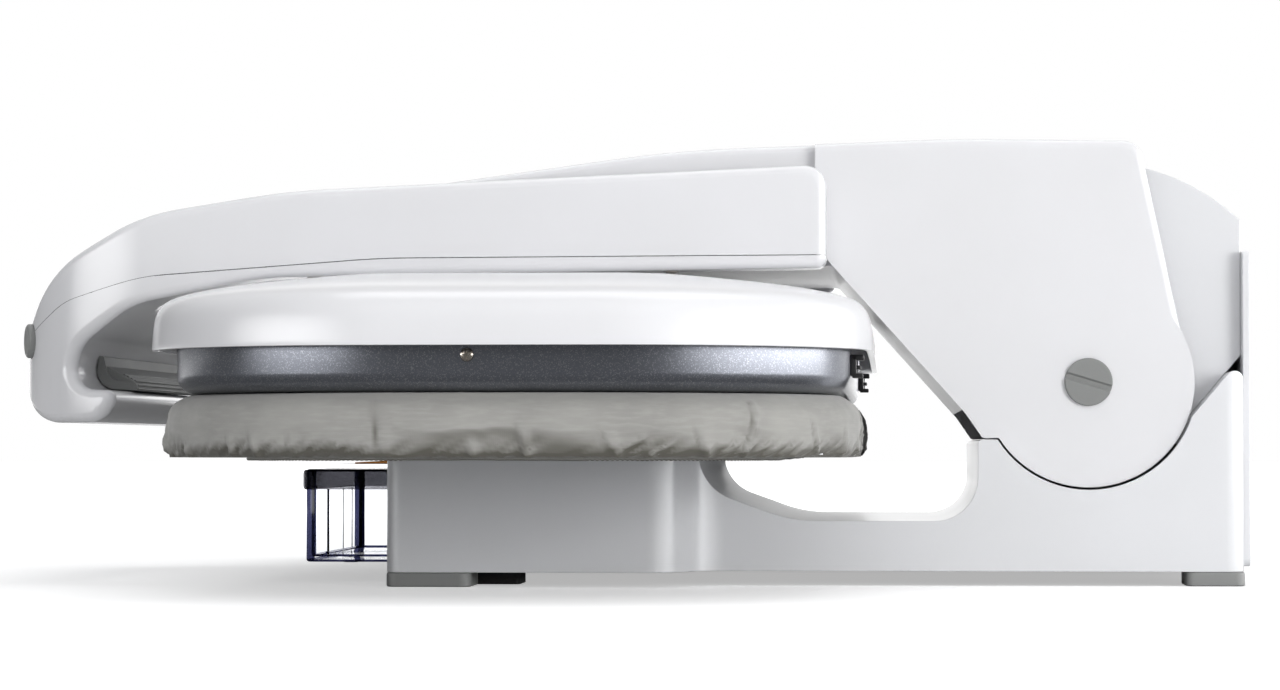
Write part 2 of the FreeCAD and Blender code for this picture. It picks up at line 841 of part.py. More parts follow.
# Control panel on the sloping nose, placed by a frame that lies on the slope
slope_angle = math.degrees(math.atan2(nose_crest - nose_foot, nose_crest_y - nose_front))
slope_turn = Rotation(Vector(1, 0, 0), slope_angle)
slope_middle = Vector(0, (nose_front + nose_crest_y) / 2, (nose_foot + nose_crest) / 2)


def on_slope(x, along, out):
    return slope_middle + slope_turn.multVec(Vector(x, along, out))


slope_out = slope_turn.multVec(Vector(0, 0, 1))
dial_x = 48.0
rocker_x = -48.0
lens_xs = (-9.0, 9.0)
dial_hole = cylinder("dial_hole", "3.5 + running_gap", "40", on_slope(dial_x, 0, -20), slope_out)
rocker_left = rocker_x - size.rocker_width / 2
rocker_hole = box(
    "rocker_hole", "rocker_width + 2 * rocker_gap", "rocker_height + 2 * rocker_gap", "40",
    on_slope(rocker_left - size.rocker_gap, -size.rocker_height / 2 - size.rocker_gap, -20), slope_turn,
)
lens_holes = [cylinder("lens_hole", "lens_radius", "40", on_slope(x, 0, -20), slope_out) for x in lens_xs]
node("arm_shell", cut("arm_shell", arm_outer, arm_between, nose_between, cap_hole, shaft_bush_hole,
                      dial_hole, rocker_hole))

panel_plate = box("panel_plate", "2 * panel_half_width", "panel_height", "panel_thickness",
                  on_slope(-size.panel_half_width, -size.panel_height / 2, 0), slope_turn)
node("control_panel", cut("control_panel", panel_plate, dial_hole, rocker_hole, *lens_holes))
lenses = []
for lens_x in lens_xs:
    lens_at = on_slope(lens_x, 0, 0)
    lenses.append(cylinder("pilot_lens", "lens_radius", "panel_thickness + 1.2", lens_at, slope_out))
node("pilot_lenses", group("pilot_lenses", *lenses))
dial_seat = size.panel_thickness + size.seat_gap
node("temperature_dial", fuse(
    "temperature_dial",
    cylinder("dial_knob", "dial_radius", "dial_height", on_slope(dial_x, 0, dial_seat), slope_out),
    cylinder("dial_shaft", "3.5", "10 + panel_thickness + seat_gap", on_slope(dial_x, 0, -10), slope_out),
    box("dial_pointer", "3", "dial_radius + 1", "1.2",
        on_slope(dial_x - 1.5, -0.5, dial_seat + size.dial_height), slope_turn),
))
rocker_turn = Rotation(Vector(1, 0, 0), slope_angle - size.rocker_tilt)
rocker_corner = slope_middle + rocker_turn.multVec(Vector(rocker_left, -size.rocker_height / 2, -5))
node("power_switch", box("power_rocker", "rocker_width", "rocker_height", "9", rocker_corner, rocker_turn))

underside_outline = [
    (nose_front + size.seat_gap, size.arm_floor - size.underside_thickness, 2),
    (pivot_y - 106.8, size.arm_floor - size.underside_thickness, 4),
    (pivot_y - 52.5, 73.5),
    (pivot_y - 50.3, 75.4),
    (pivot_y - 105.3, size.arm_floor),
    (nose_front + size.seat_gap, size.arm_floor),
]
guide_hole = cylinder("guide_hole", "post_radius + bush_wall", "60",
                      Vector(post_x, size.board_centre_y, size.arm_floor - 30), upward)
underside = pad("arm_underside_plate", "YZ_Plane", underside_outline, "2 * arm_nose_half_width",
                both_ways=True)
node("arm_underside", cut("arm_underside", underside, guide_hole, mirrored(guide_hole)))

guide_bottom = size.arm_floor - size.underside_thickness - 1.0
guide_at = Vector(post_x, size.board_centre_y, guide_bottom)
guide = cut(
    "hanger_guide",
    cylinder("guide_body", "post_radius + bush_wall", "12", guide_at, upward),
    cylinder("guide_bore", "post_radius + running_gap", "12", guide_at, upward),
)
node("hanger_guides", pair("hanger_guides", guide))

frame_outline = [
    (-95.0, size.arm_floor + 1, 5),
    (pivot_y - 100.0, size.arm_floor + 1, 12),
    (pivot_y - 41.5, 74.0, 6),
    (pivot_y, size.pivot_z - 20),
    (pivot_y + 24, size.pivot_z),
    (pivot_y + 8, 150.0, 20),
    (pivot_y - 73.5, 172.0, 40),
    (-70.0, 160.0, 20),
    (-95.0, 152.0, 5),
]
frame_start = "tower_half_width + frame_gap"
cross_tube_places = ((-78.0, 150.0), (pivot_y - 97.5, 160.0))
frame_blank = fuse(
    "frame_blank",
    pad("frame_sheet", "YZ_Plane", frame_outline, "frame_thickness", start=frame_start),
    cylinder("frame_boss", "hinge_pin_radius + 17", "frame_thickness",
             Vector(frame_inner, pivot_y, size.pivot_z)),
)
frame_pin_hole = cylinder("frame_pin_hole", "hinge_pin_radius", "400", pivot_left)
arm_frame_right = cut("arm_frame_right", frame_blank, frame_pin_hole, shaft_bush_hole)
node("arm_frame_right", arm_frame_right)
node("arm_frame_left", mirrored(arm_frame_right))

tubes = []
tube_length = "2 * (tower_half_width + frame_gap)"
for tube_y, tube_z in cross_tube_places:
    tube_at = Vector(-frame_inner, tube_y, tube_z)
    tubes.append(cut(
        "cross_tube",
        cylinder("tube_outside", "cross_tube_radius", tube_length, tube_at),
        cylinder("tube_inside", "cross_tube_radius - cross_tube_wall", tube_length, tube_at),
    ))
node("arm_cross_tubes", group("arm_cross_tubes", *tubes))

hinge_pin = doc.addObject("Part::Cylinder", "hinge_pin_bar")
bind(hinge_pin, Radius="hinge_pin_radius")
hinge_pin.Height = cheek_inner - bush_start - 0.5
sideways = Rotation(Vector(0, 0, 1), Vector(1, 0, 0))
hinge_pin.Placement = Placement(Vector(bush_start + 0.5, pivot_y, size.pivot_z), sideways)
node("hinge_pins", pair("hinge_pins", hinge_pin))

cap_turn = Rotation(Vector(1, 0, 0), -17)
cap_slot = box("cap_slot", "10", "4 * cap_radius", "cap_slot_width",
               Vector(cheek_inner + size.cap_length - size.cap_slot_depth, pivot_y, size.pivot_z)
               + cap_turn.multVec(Vector(0, -2 * size.cap_radius, -size.cap_slot_width / 2)), cap_turn)
cap_disc = cylinder("cap_disc", "cap_radius", "cap_length", Vector(cheek_inner, pivot_y, size.pivot_z))
node("hinge_caps", pair("hinge_caps", cut("hinge_cap", cap_disc, cap_slot)))

shaft_bush_at = Vector(frame_inner - 0.5, shaft_y, size.shaft_z)
shaft_bush = cut(
    "shaft_bush",
    cylinder("shaft_bush_body", "shaft_radius + 3", "arm_nose_half_width - tower_half_width - frame_gap + 1",
             shaft_bush_at),
    cylinder("shaft_bush_bore", "shaft_radius + running_gap", "arm_nose_half_width", shaft_bush_at),
)
node("shaft_bushes", pair("shaft_bushes", shaft_bush))


# Handle: a U-shaped bow with a hooked front bar, in two half shells

handle_front = -size.overall_depth / 2 - 1.1


def handle_profile():
    """Side view of the bow; the front bar curls under into a hook."""
    return [
        (handle_rear, 132.0, 4),
        (handle_rear, 174.7, 9),
        (handle_front + 122.0, 164.6, 300),
        (handle_front + 62.0, 155.0, 90),
        (handle_front + 19.0, 132.0, 60),
        (handle_front, 100.0, 30),
        (handle_front + 3.5, 68.0, 22),
        (handle_front + 46.0, 68.3, 12),
        (handle_front + 51.5, 81.5, 4),
        (handle_front + 30.0, 82.5, 9),
        (handle_front + 32.5, 100.0, 16),
        (handle_front + 57.0, 117.5, 40),
        (handle_front + 112.0, 128.5, 120),
    ]


def handle_plan(drawn_in):
    """The U of the bow from above, with its wall drawn in."""
    outer = size.handle_half_width - drawn_in
    inner = size.handle_half_width - size.handle_arm_width + drawn_in
    front = -size.overall_depth / 2 + drawn_in
    bar_back = -size.overall_depth / 2 + size.handle_bar_depth - drawn_in
    rear = handle_rear - drawn_in
    outer_corner = size.handle_corner - drawn_in
    inner_corner = size.handle_corner - size.handle_arm_width + drawn_in
    return [
        (-outer, front, outer_corner),
        (outer, front, outer_corner),
        (outer, rear),
        (inner, rear),
        (inner, bar_back, inner_corner),
        (-inner, bar_back, inner_corner),
        (-inner, rear),
        (-outer, rear),
    ]


def parting_side(edge_height):
    """Everything on one side of the parting line between the half shells."""
    return [
        (-FAR, 104.0),
        (handle_front + 4.0, 104.0),
        (handle_front + 26.0, 119.0, 30),
        (handle_front + 62.0, 129.0, 100),
        (handle_front + 162.0, 136.3, 300),
        (FAR, 138.6),
        (FAR, edge_height),
        (-FAR, edge_height),
    ]


handle_width = "2 * handle_half_width + 20"
handle_blank = common(
    "handle_blank",
    pad("handle_side", "YZ_Plane", handle_profile(), handle_width, both_ways=True),
    pad("handle_top_view", "XY_Plane", handle_plan(0.0), "300"),
)


def bow_top_edge(middle, normals):
    """True on the edges round the top of the bow, ahead of its rear ends."""
    return middle.z > 140 and middle.y < handle_rear - 3


handle_outer = rounded_edges("handle_outer", handle_blank, size.handle_edge_radius, bow_top_edge)
handle_inner = common(
    "handle_inner",
    pad("handle_side_inner", "YZ_Plane", inset(handle_profile(), size.handle_wall), handle_width,
        both_ways=True),
    pad("handle_top_view_inner", "XY_Plane", handle_plan(size.handle_wall), "300"),
)
corner_centre = Vector(size.handle_half_width - size.handle_corner,
                       size.handle_corner - size.overall_depth / 2, size.button_height)
button_axis = Vector(0.38, -0.925, 0).normalize()
button_face = corner_centre + button_axis * (size.handle_corner + size.button_proud)
button_hole = cylinder("button_hole", "button_radius + seat_gap", "button_length + 10",
                       button_face + button_axis * 5, button_axis * -1)
shaft_passage = cylinder("shaft_passage", "shaft_radius + seat_gap", "2 * handle_half_width - 10",
                         Vector(5 - size.handle_half_width, shaft_y, size.shaft_z))
handle_hollow = cut("handle_hollow", handle_outer, handle_inner, button_hole, mirrored(button_hole),
                    shaft_passage)

screw_places = (-130.0, 20.0)
screw_x = size.handle_half_width - size.handle_arm_width / 2
handle_screws = []
for screw_y in screw_places:
    screw_seat = 132.0 - 3.5 * (handle_rear - screw_y) / (handle_rear - handle_front - 112.0)
    handle_screw_at = Vector(screw_x, screw_y, screw_seat - 1.0)
    handle_screws.append(cylinder("handle_screw", "3.2", "5", handle_screw_at, upward))
handle_screw_set = group("handle_screw_set", *handle_screws)
handle_screw_pairs = pair("handle_screws", handle_screw_set)

above_parting = pad("above_parting", "YZ_Plane", parting_side(FAR), handle_width, both_ways=True)
below_parting = pad("below_parting", "YZ_Plane", parting_side(0.0)[::-1], handle_width, both_ways=True)
node("handle_top_shell", common("handle_top_shell", handle_hollow, above_parting))
handle_lower = common("handle_lower", handle_hollow, below_parting)
node("handle_lower_shell", cut("handle_lower_shell", handle_lower, handle_screw_pairs))
node("handle_screws", handle_screw_pairs)

grip_outline = [
    (handle_front + 49.0, 82.2),
    (handle_front + 49.0, 85.6, 1.5),
    (handle_front + 37.0, 86.8, 6),
    (handle_front + 34.6, 97.0, 1),
    (handle_front + 32.6, 97.2),
    (handle_front + 30.6, 83.2, 8),
]
grip_strip = pad("grip_strip", "YZ_Plane", grip_outline, "2 * grip_half_length", both_ways=True)
node("handle_grip", cut("handle_grip", grip_strip, handle_blank))

strap_x = size.handle_half_width - size.handle_arm_width / 2 - size.strap_thickness / 2
half_strap = size.strap_height / 2
strap_outline = [
    (-185.0, 140.0, 5),
    (-60.0, 145.0),
    (shaft_y + half_strap, size.shaft_z - half_strap, 6),
    (shaft_y + half_strap, size.shaft_z + half_strap, 6),
    (-60.0, 145.0 + size.strap_height),
    (-185.0, 149.0, 4),
]
shaft_bore = cylinder("shaft_bore", "shaft_radius", "400", shaft_left)
strap_bar = pad("strap_bar", "YZ_Plane", strap_outline, "strap_thickness",
                start="handle_half_width - (handle_arm_width + strap_thickness) / 2")
node("handle_straps", pair("handle_straps", cut("handle_strap", strap_bar, shaft_bore)))

shaft_half = strap_x + size.strap_thickness
node("handle_shaft", cylinder(
    "handle_shaft_bar", "shaft_radius", "2 * handle_half_width - handle_arm_width + strap_thickness",
    Vector(-shaft_half, shaft_y, size.shaft_z),
))
crank_outline = [
    (crank_y - 5.5, size.shaft_z - 5.5, 4),
    (shaft_y + 9, size.shaft_z - 9, 7),
    (shaft_y + 9, size.shaft_z + 9, 7),
    (crank_y - 5.5, size.shaft_z + 5.5, 4),
]
crank_web = pad("crank_web", "YZ_Plane", crank_outline, "4", start="beam_half_width + 0.6")
crank_half = size.beam_half_width + 4.6
crank_pin = doc.addObject("Part::Cylinder", "crank_pin")
bind(crank_pin, Radius="crank_pin_radius", Height="2 * (beam_half_width + 4.6)")
crank_pin.Placement = Placement(Vector(-crank_half, crank_y, size.shaft_z), sideways)
crank_blank = fuse("press_crank", crank_web, mirrored(crank_web), crank_pin)
node("press_crank", cut("press_crank", crank_blank, shaft_bore))

steam_button = cylinder("steam_button", "button_radius", "button_length", button_face, button_axis * -1)
node("steam_button_right", steam_button)
node("steam_button_left", mirrored(steam_button))
switch_start = size.button_length + size.button_travel + size.seat_gap
switch_bar = cylinder("switch_bar", "button_radius - 1.5", "40", button_face - button_axis * switch_start,
                      button_axis * -1)
steam_switch = common("steam_switch", switch_bar, handle_inner)
node("steam_switches", pair("steam_switches", steam_switch))


# Water tank in the pedestal's front

tank_front = front_y - size.tank_overhang
tank_bottom = plate_top + size.seat_gap
tank_rear = tank_front + size.tank_length
tank_top = tank_bottom + size.tank_height
tank_middle = (tank_front + tank_rear) / 2
tank_plan = rounded_rectangle(size.tank_half_width, size.tank_length / 2, 5, tank_middle)
tank_start = "foot_height + base_plate_thickness + seat_gap"
tank_block = pad("tank_block", "XY_Plane", tank_plan, "tank_height", start=tank_start)
tank_room = pad("tank_room", "XY_Plane", inset(tank_plan, size.tank_wall), "tank_height",
                start=tank_start + " + tank_wall")
node("water_tank", cut("water_tank", tank_block, tank_room))
node("tank_lid", pad("lid_plate", "XY_Plane", tank_plan, "tank_lid_thickness",
                     start=tank_start + " + tank_height"))
flap_outline = [
    (tank_front + 14.0, tank_top + size.tank_lid_thickness),
    (tank_front + 36.0, tank_top + size.tank_lid_thickness),
    (tank_front + 36.0, tank_top + size.tank_lid_thickness + 1.8, 0.6),
    (tank_front + 14.0, tank_top + size.tank_lid_thickness + 0.6),
]
node("filler_flap", pad("filler_flap_plate", "YZ_Plane", flap_outline, "50", both_ways=True))

along_y = Vector(0, 1, 0)
valve_z = tank_bottom + 13.0
valve_at = Vector(0, tank_rear, valve_z)
node("tank_valve", cylinder("tank_valve_stem", "valve_radius", "valve_length", valve_at, along_y))
seat_block = box("seat_block", "4 * valve_radius", "seat_depth", "30",
                 Vector(-2 * size.valve_radius, tank_rear + 0.5, plate_top))
seat_bore = cylinder("seat_bore", "valve_radius + seat_gap", "valve_length + seat_gap", valve_at, along_y)
node("tank_seat", cut("tank_seat", seat_block, seat_bore))

# Pump behind the tank, with its two hoses
pump_x = -48.0
seat_rear = tank_rear + 0.5 + size.seat_depth
hose_turn = 14.0
pump_front = seat_rear + 4.0
pump_body = fuse(
    "water_pump",
    box("pump_case", "40", "30", "30", Vector(pump_x - 20, pump_front, plate_top)),
    cylinder("pump_coil", "12", "8", Vector(pump_x, pump_front + 15, plate_top + 30), upward),
)
node("water_pump", pump_body)


def hose(name, corners, plane_turn, at):
    """A hose along straight runs and tangent arcs in one plane, starting along its first run."""
    path = Part.Wire([edge.toShape() for edge in rounded(corners, closed=False)])
    start = Vector(*corners[0][:2])
    heading = Vector(*corners[1][:2]) - start
    section = Part.Wire(Part.makeCircle(size.hose_radius, start, heading))
    tube = doc.addObject("Part::Feature", name + "_tube")
    tube.Shape = path.makePipeShell([section], True, False)
    tube.Placement = Placement(at, plane_turn)
    return tube


feed_corners = [
    (0.0, seat_rear),
    (0.0, pump_front + 15, hose_turn),
    (pump_x + 20, pump_front + 15),
]
node("feed_hose", hose("feed_hose", feed_corners, Rotation(), Vector(0, 0, valve_z)))
riser_y = pivot_y - 5
riser_corners = [
    (pump_front + 30, plate_top + 8),
    (riser_y, plate_top + 8, hose_turn),
    (riser_y, size.ledge_height - size.shell_wall),
]
upright = Rotation(Vector(0, 1, 0), Vector(0, 0, 1), Vector(1, 0, 0), "XYZ")
node("riser_hose", hose("riser_hose", riser_corners, upright, Vector(pump_x, 0, 0)))


# Check every object, then write one file for each piece

doc.recompute()
for item in doc.Objects:
    if "Invalid" in item.State or "Error" in item.State:
        raise RuntimeError("%s failed: %s" % (item.Label, item.State))
os.makedirs("parts", exist_ok=True)
for part in nodes:
    if part.Shape.isNull() or not part.Shape.isValid() or not part.Shape.Solids:
        raise RuntimeError("%s has no valid solid" % part.Label)
for part in nodes:
    part.Shape.exportStep(os.path.join("parts", part.Label + ".step"))
    print(part.Label, len(part.Shape.Solids), round(part.Shape.Volume))
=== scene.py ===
import json
import math
import random

import bmesh
import bpy
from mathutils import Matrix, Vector
from mathutils.noise import noise as noise_at


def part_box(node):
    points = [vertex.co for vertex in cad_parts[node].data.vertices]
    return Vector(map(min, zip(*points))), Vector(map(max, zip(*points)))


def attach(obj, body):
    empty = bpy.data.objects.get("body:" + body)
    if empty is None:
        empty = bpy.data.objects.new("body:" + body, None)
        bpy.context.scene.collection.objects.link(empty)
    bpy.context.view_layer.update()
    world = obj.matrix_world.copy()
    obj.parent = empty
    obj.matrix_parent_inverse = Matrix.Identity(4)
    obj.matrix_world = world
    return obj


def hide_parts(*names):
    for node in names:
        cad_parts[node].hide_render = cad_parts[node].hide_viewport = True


# Looks of the steam ironing press. Metres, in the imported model's frame.

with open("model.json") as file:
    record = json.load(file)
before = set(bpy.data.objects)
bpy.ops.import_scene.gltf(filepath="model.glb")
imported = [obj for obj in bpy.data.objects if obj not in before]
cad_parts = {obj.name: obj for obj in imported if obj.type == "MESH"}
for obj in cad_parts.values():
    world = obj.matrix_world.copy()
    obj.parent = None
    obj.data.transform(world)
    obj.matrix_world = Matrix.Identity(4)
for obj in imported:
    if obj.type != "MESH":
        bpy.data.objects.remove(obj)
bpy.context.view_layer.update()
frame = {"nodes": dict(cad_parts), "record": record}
nodes = frame["nodes"]

MM = 0.001
WELD = 0.01 * MM


# Modelling helpers

def deselect():
    """Leave edit mode and select nothing."""
    if bpy.context.object and bpy.context.object.mode == "EDIT":
        bpy.ops.object.mode_set(mode="OBJECT")
    bpy.ops.object.select_all(action="DESELECT")


def activate(piece):
    """Make one piece the only one that operators act on."""
    deselect()
    piece.select_set(True)
    bpy.context.view_layer.objects.active = piece


def edit(piece, kind="FACE", choice="DESELECT"):
    """Open one piece for editing with nothing or everything selected."""
    activate(piece)
    bpy.ops.object.mode_set(mode="EDIT")
    bpy.ops.mesh.select_mode(type=kind)
    bpy.ops.mesh.select_all(action=choice)


def pick_faces(piece, test):
    """Select the faces of the edited piece whose middle and normal pass a test."""
    mesh = bmesh.from_edit_mesh(piece.data)
    for face in mesh.faces:
        face.select_set(bool(test(face.calc_center_median(), face.normal)))
    bmesh.update_edit_mesh(piece.data)


def drop_faces(piece, test):
    """Delete the faces of a piece whose middle and normal pass a test."""
    edit(piece)
    pick_faces(piece, test)
    bpy.ops.mesh.delete(type="FACE")
    deselect()


def apply_modifier(piece, kind, **settings):
    """Add a modifier with its settings and apply it at once."""
    activate(piece)
    modifier = piece.modifiers.new(kind.title(), kind)
    for name, value in settings.items():
        setattr(modifier, name, value)
    bpy.ops.object.modifier_apply(modifier=modifier.name)


def round_edges(piece, width, angle, **settings):
    """Round the edges of a piece that turn by more than an angle."""
    apply_modifier(piece, "BEVEL", width=width, segments=3, limit_method="ANGLE",
                   angle_limit=math.radians(angle), **settings)


def settle(piece, name, body, slot, replaced=(), crease=30, keep_materials=False):
    """Name a finished piece, smooth it, give it its finish and put it on its body."""
    activate(piece)
    bpy.ops.object.transform_apply()
    bpy.ops.object.shade_smooth_by_angle(angle=math.radians(crease))
    piece.name = name
    piece.data.name = name
    if not keep_materials:
        piece.data.materials.clear()
        piece.data.materials.append(finishes[slot])
    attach(piece, body)
    if replaced:
        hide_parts(*replaced)
    return piece


def body_of_node(node):
    """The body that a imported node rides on."""
    bodies = frame["record"]["behaviour"]["bodies"]
    return next(body for body, members in bodies.items() if node in members)


def copy_of_node(node):
    """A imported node's mesh as a new piece, its loose triangles merged into whole faces."""
    piece = bpy.data.objects.new(node + "_copy", nodes[node].data.copy())
    bpy.context.scene.collection.objects.link(piece)
    edit(piece, "VERT", "SELECT")
    bpy.ops.mesh.remove_doubles(threshold=WELD)
    bpy.ops.mesh.dissolve_limited(angle_limit=math.radians(0.4))
    deselect()
    return piece


def soft_edged(node, slot, width, cutters=()):
    """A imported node's shape with its sharp edges rounded, shown in the node's place."""
    piece = copy_of_node(node)
    for cutter in cutters:
        cut_away(piece, cutter)
    round_edges(piece, width, 32, miter_outer="MITER_ARC", use_clamp_overlap=True)
    settle(piece, node + "_moulding", body_of_node(node), slot, replaced=(node,))
    apply_modifier(piece, "WEIGHTED_NORMAL", keep_sharp=True, weight=90)
    return piece


def cylinder_blank(radius, height, sides=48):
    """An upright cylinder standing on the origin."""
    deselect()
    middle = (0, 0, height / 2)
    bpy.ops.mesh.primitive_cylinder_add(vertices=sides, radius=radius, depth=height, location=middle)
    bpy.ops.object.transform_apply()
    return bpy.context.object


def block(low, high, round_by):
    """A straight block between two corners with rounded edges."""
    deselect()
    bpy.ops.mesh.primitive_cube_add(size=1)
    piece = bpy.context.object
    piece.location = [(first + second) / 2 for first, second in zip(low, high)]
    piece.scale = [second - first for first, second in zip(low, high)]
    bpy.ops.object.transform_apply()
    edit(piece, "EDGE", "SELECT")
    bpy.ops.mesh.bevel(offset=round_by, segments=3)
    deselect()
    return piece


def stand(piece, at, axis):
    """Turn an upright piece along an axis and put its foot at a place."""
    activate(piece)
    piece.rotation_euler = Vector(axis).to_track_quat("Z", "Y").to_euler()
    piece.location = at
    bpy.ops.object.transform_apply()
    return piece


def turn_over(piece):
    """Flip all the faces of a piece."""
    edit(piece, "FACE", "SELECT")
    bpy.ops.mesh.flip_normals()


def join(pieces):
    """Several pieces as one."""
    activate(pieces[0])
    for piece in pieces[1:]:
        piece.select_set(True)
    bpy.ops.object.join()
    return pieces[0]


def cut_away(piece, tool):
    """Take one shape out of a piece and delete the tool."""
    apply_modifier(piece, "BOOLEAN", object=tool, operation="DIFFERENCE", solver="EXACT")
    bpy.data.objects.remove(tool)


def middle_of(node):
    """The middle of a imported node's box."""
    low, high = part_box(node)
    return (Vector(low) + Vector(high)) / 2


def reach_along(node, axis):
    """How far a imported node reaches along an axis, from and to."""
    reach = [axis.dot(vertex.co) for vertex in nodes[node].data.vertices]
    return min(reach), max(reach)


def foot_of(node, axis):
    """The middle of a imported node, moved along an axis to where the node begins."""
    middle = middle_of(node)
    return middle + axis * (reach_along(node, axis)[0] - axis.dot(middle))


def scaled(rings):
    """Rings written in millimetres, in metres."""
    return [(inset * MM, height * MM) for inset, height in rings]


# Shader helpers

def feed(tree, sockets, **inputs):
    """Feed sockets by name or number: inputs that are sockets are linked, and other values are set."""
    for name, value in inputs.items():
        socket = sockets[int(name[1:]) if name[1:].isdigit() else name.replace("_", " ")]
        if isinstance(value, bpy.types.NodeSocket):
            tree.links.new(value, socket)
        else:
            socket.default_value = value


def add(tree, kind, settings=None, **inputs):
    """Add a node with its settings and inputs."""
    node = tree.nodes.new(kind)
    for name, value in (settings or {}).items():
        setattr(node, name, value)
    feed(tree, node.inputs, **inputs)
    return node


def calculate(tree, operation, first, second=0.0):
    """The result of one sum on two values."""
    return add(tree, "ShaderNodeMath", {"operation": operation}, i0=first, i1=second).outputs[0]


def blend_colour(tree, factor, first, second):
    """A colour between two others."""
    mix = add(tree, "ShaderNodeMix", {"data_type": "RGBA"}, i0=factor, i6=first, i7=second)
    return mix.outputs[2]


def remap(tree, value, low, high, from_low=0.0, from_high=1.0):
    """Bring a value from one range into another, held inside it."""
    node = add(tree, "ShaderNodeMapRange", Value=value, From_Min=from_low, From_Max=from_high,
               To_Min=low, To_Max=high)
    return node.outputs[0]


def place(tree, scale=(1, 1, 1)):
    """Object coordinates, stretched."""
    coordinates = add(tree, "ShaderNodeTexCoord").outputs["Object"]
    if tuple(scale) == (1, 1, 1):
        return coordinates
    return add(tree, "ShaderNodeMapping", Vector=coordinates, Scale=scale).outputs[0]


def parts_of(tree, vector):
    """The three parts of a vector."""
    return add(tree, "ShaderNodeSeparateXYZ", Vector=vector).outputs


def surface_normal(tree):
    """The three parts of the surface's normal."""
    return parts_of(tree, add(tree, "ShaderNodeNewGeometry").outputs["Normal"])


def noise(tree, vector, scale, detail=3.0):
    """Soft noise over a place."""
    return add(tree, "ShaderNodeTexNoise", Vector=vector, Scale=scale, Detail=detail).outputs[0]


def new_group(name, label, usual):
    """A shader node group with one number as input, and a shade and a height as outputs."""
    tree = bpy.data.node_groups.new(name, "ShaderNodeTree")
    given = tree.interface.new_socket(label, in_out="INPUT", socket_type="NodeSocketFloat")
    given.default_value = usual
    for made in ("Shade", "Height"):
        tree.interface.new_socket(made, in_out="OUTPUT", socket_type="NodeSocketFloat")
    return tree, tree.nodes.new("NodeGroupInput").outputs[label], tree.nodes.new("NodeGroupOutput").inputs


def use_group(tree, group, **inputs):
    """Place a group in a material with its own values and return its outputs."""
    node = tree.nodes.new("ShaderNodeGroup")
    node.node_tree = group
    feed(tree, node.inputs, **inputs)
    return node.outputs


def make_grain(name, label, usual, stretch, detail, cloud, cloud_detail):
    """Fine grain of a surface, with a slow change of shade over it."""
    tree, given, made = new_group(name, label, usual)
    shade = noise(tree, place(tree), cloud, cloud_detail)
    feed(tree, made, Shade=shade, Height=noise(tree, place(tree, stretch), given, detail))
    return tree


def make_weave():
    """Over and under of a plain cotton weave, laid on the faces' own directions."""
    tree, given, made = new_group("plain weave", "Threads", 1100.0)
    where = parts_of(tree, place(tree))
    facing = surface_normal(tree)
    total = None
    for axis in range(3):
        turns = calculate(tree, "MULTIPLY", where[axis], given)
        thread = calculate(tree, "MULTIPLY", calculate(tree, "SINE", turns), 0.5)
        along = calculate(tree, "SUBTRACT", 1.0, calculate(tree, "ABSOLUTE", facing[axis]))
        share = calculate(tree, "MULTIPLY", thread, along)
        total = share if total is None else calculate(tree, "ADD", total, share)
    slub = noise(tree, place(tree, (1.0, 1.0, 6.0)), 120.0, 4.0)
    feed(tree, made, Shade=slub, Height=total)
    return tree


moulded_skin = make_grain("moulded skin", "Grain", 900.0, (1, 1, 1), 2.0, 14.0, 4.0)
metal_grain = make_grain("metal grain", "Lines", 400.0, (0.05, 1.0, 1.0), 4.0, 25.0, 5.0)
weave = make_weave()


# Finishes, one for each material slot of the record

ENAMEL_GROUND = (0.21, 0.22, 0.25, 1)
ENAMEL_FLECK = (0.40, 0.42, 0.46, 1)
FLECK_SCALE = 3200.0
FLECK_FROM = 0.78
COTTON_DARK = (0.30, 0.295, 0.28, 1)
COTTON_LIGHT = (0.37, 0.365, 0.345, 1)
COTTON_SLUB = (0.44, 0.435, 0.41, 1)
# Colour of the painted shade under the board cover and in its creases
COTTON_PAINTED_SHADE = (0.10, 0.095, 0.078, 1)
COTTON_THREADS = 9000.0
CREASE_SHADE = 0.75


def new_finish(name):
    """A new material with its node tree and the sockets of its surface."""
    material = bpy.data.materials.new(name)
    material.use_nodes = True
    tree = material.node_tree
    return material, tree, tree.nodes["Principled BSDF"].inputs


def give_relief(tree, skin, height, distance, strength=1.0):
    """Raise the surface by a height that changes over it."""
    bump = add(tree, "ShaderNodeBump", Height=height, Distance=distance, Strength=strength)
    feed(tree, skin, Normal=bump.outputs[0])


def plastic(name, colour, shade, roughness, grain, depth, coat=0.0):
    """Moulded plastic: slow change of shade, fine grain and a gloss that varies a little."""
    material, tree, skin = new_finish(name)
    mould = use_group(tree, moulded_skin, Grain=grain)
    slow = remap(tree, mould["Shade"], 0.0, 1.0, 0.3, 0.7)
    feed(tree, skin, Base_Color=blend_colour(tree, slow, (*shade, 1), (*colour, 1)),
         Roughness=remap(tree, slow, roughness * 1.06, roughness * 0.94),
         Coat_Weight=coat, Coat_Roughness=0.08)
    give_relief(tree, skin, mould["Height"], depth)
    return material


def metal(name, colour, shade, roughness, lines, depth=0.00002):
    """Plated or cast metal with drawn lines and a stained sheen."""
    material, tree, skin = new_finish(name)
    grain = use_group(tree, metal_grain, Lines=lines)
    slow = remap(tree, grain["Shade"], 0.0, 1.0, 0.3, 0.7)
    feed(tree, skin, Base_Color=blend_colour(tree, slow, (*shade, 1), (*colour, 1)), Metallic=1.0,
         Roughness=remap(tree, grain["Height"], roughness * 0.8, roughness * 1.25))
    give_relief(tree, skin, grain["Height"], depth)
    return material


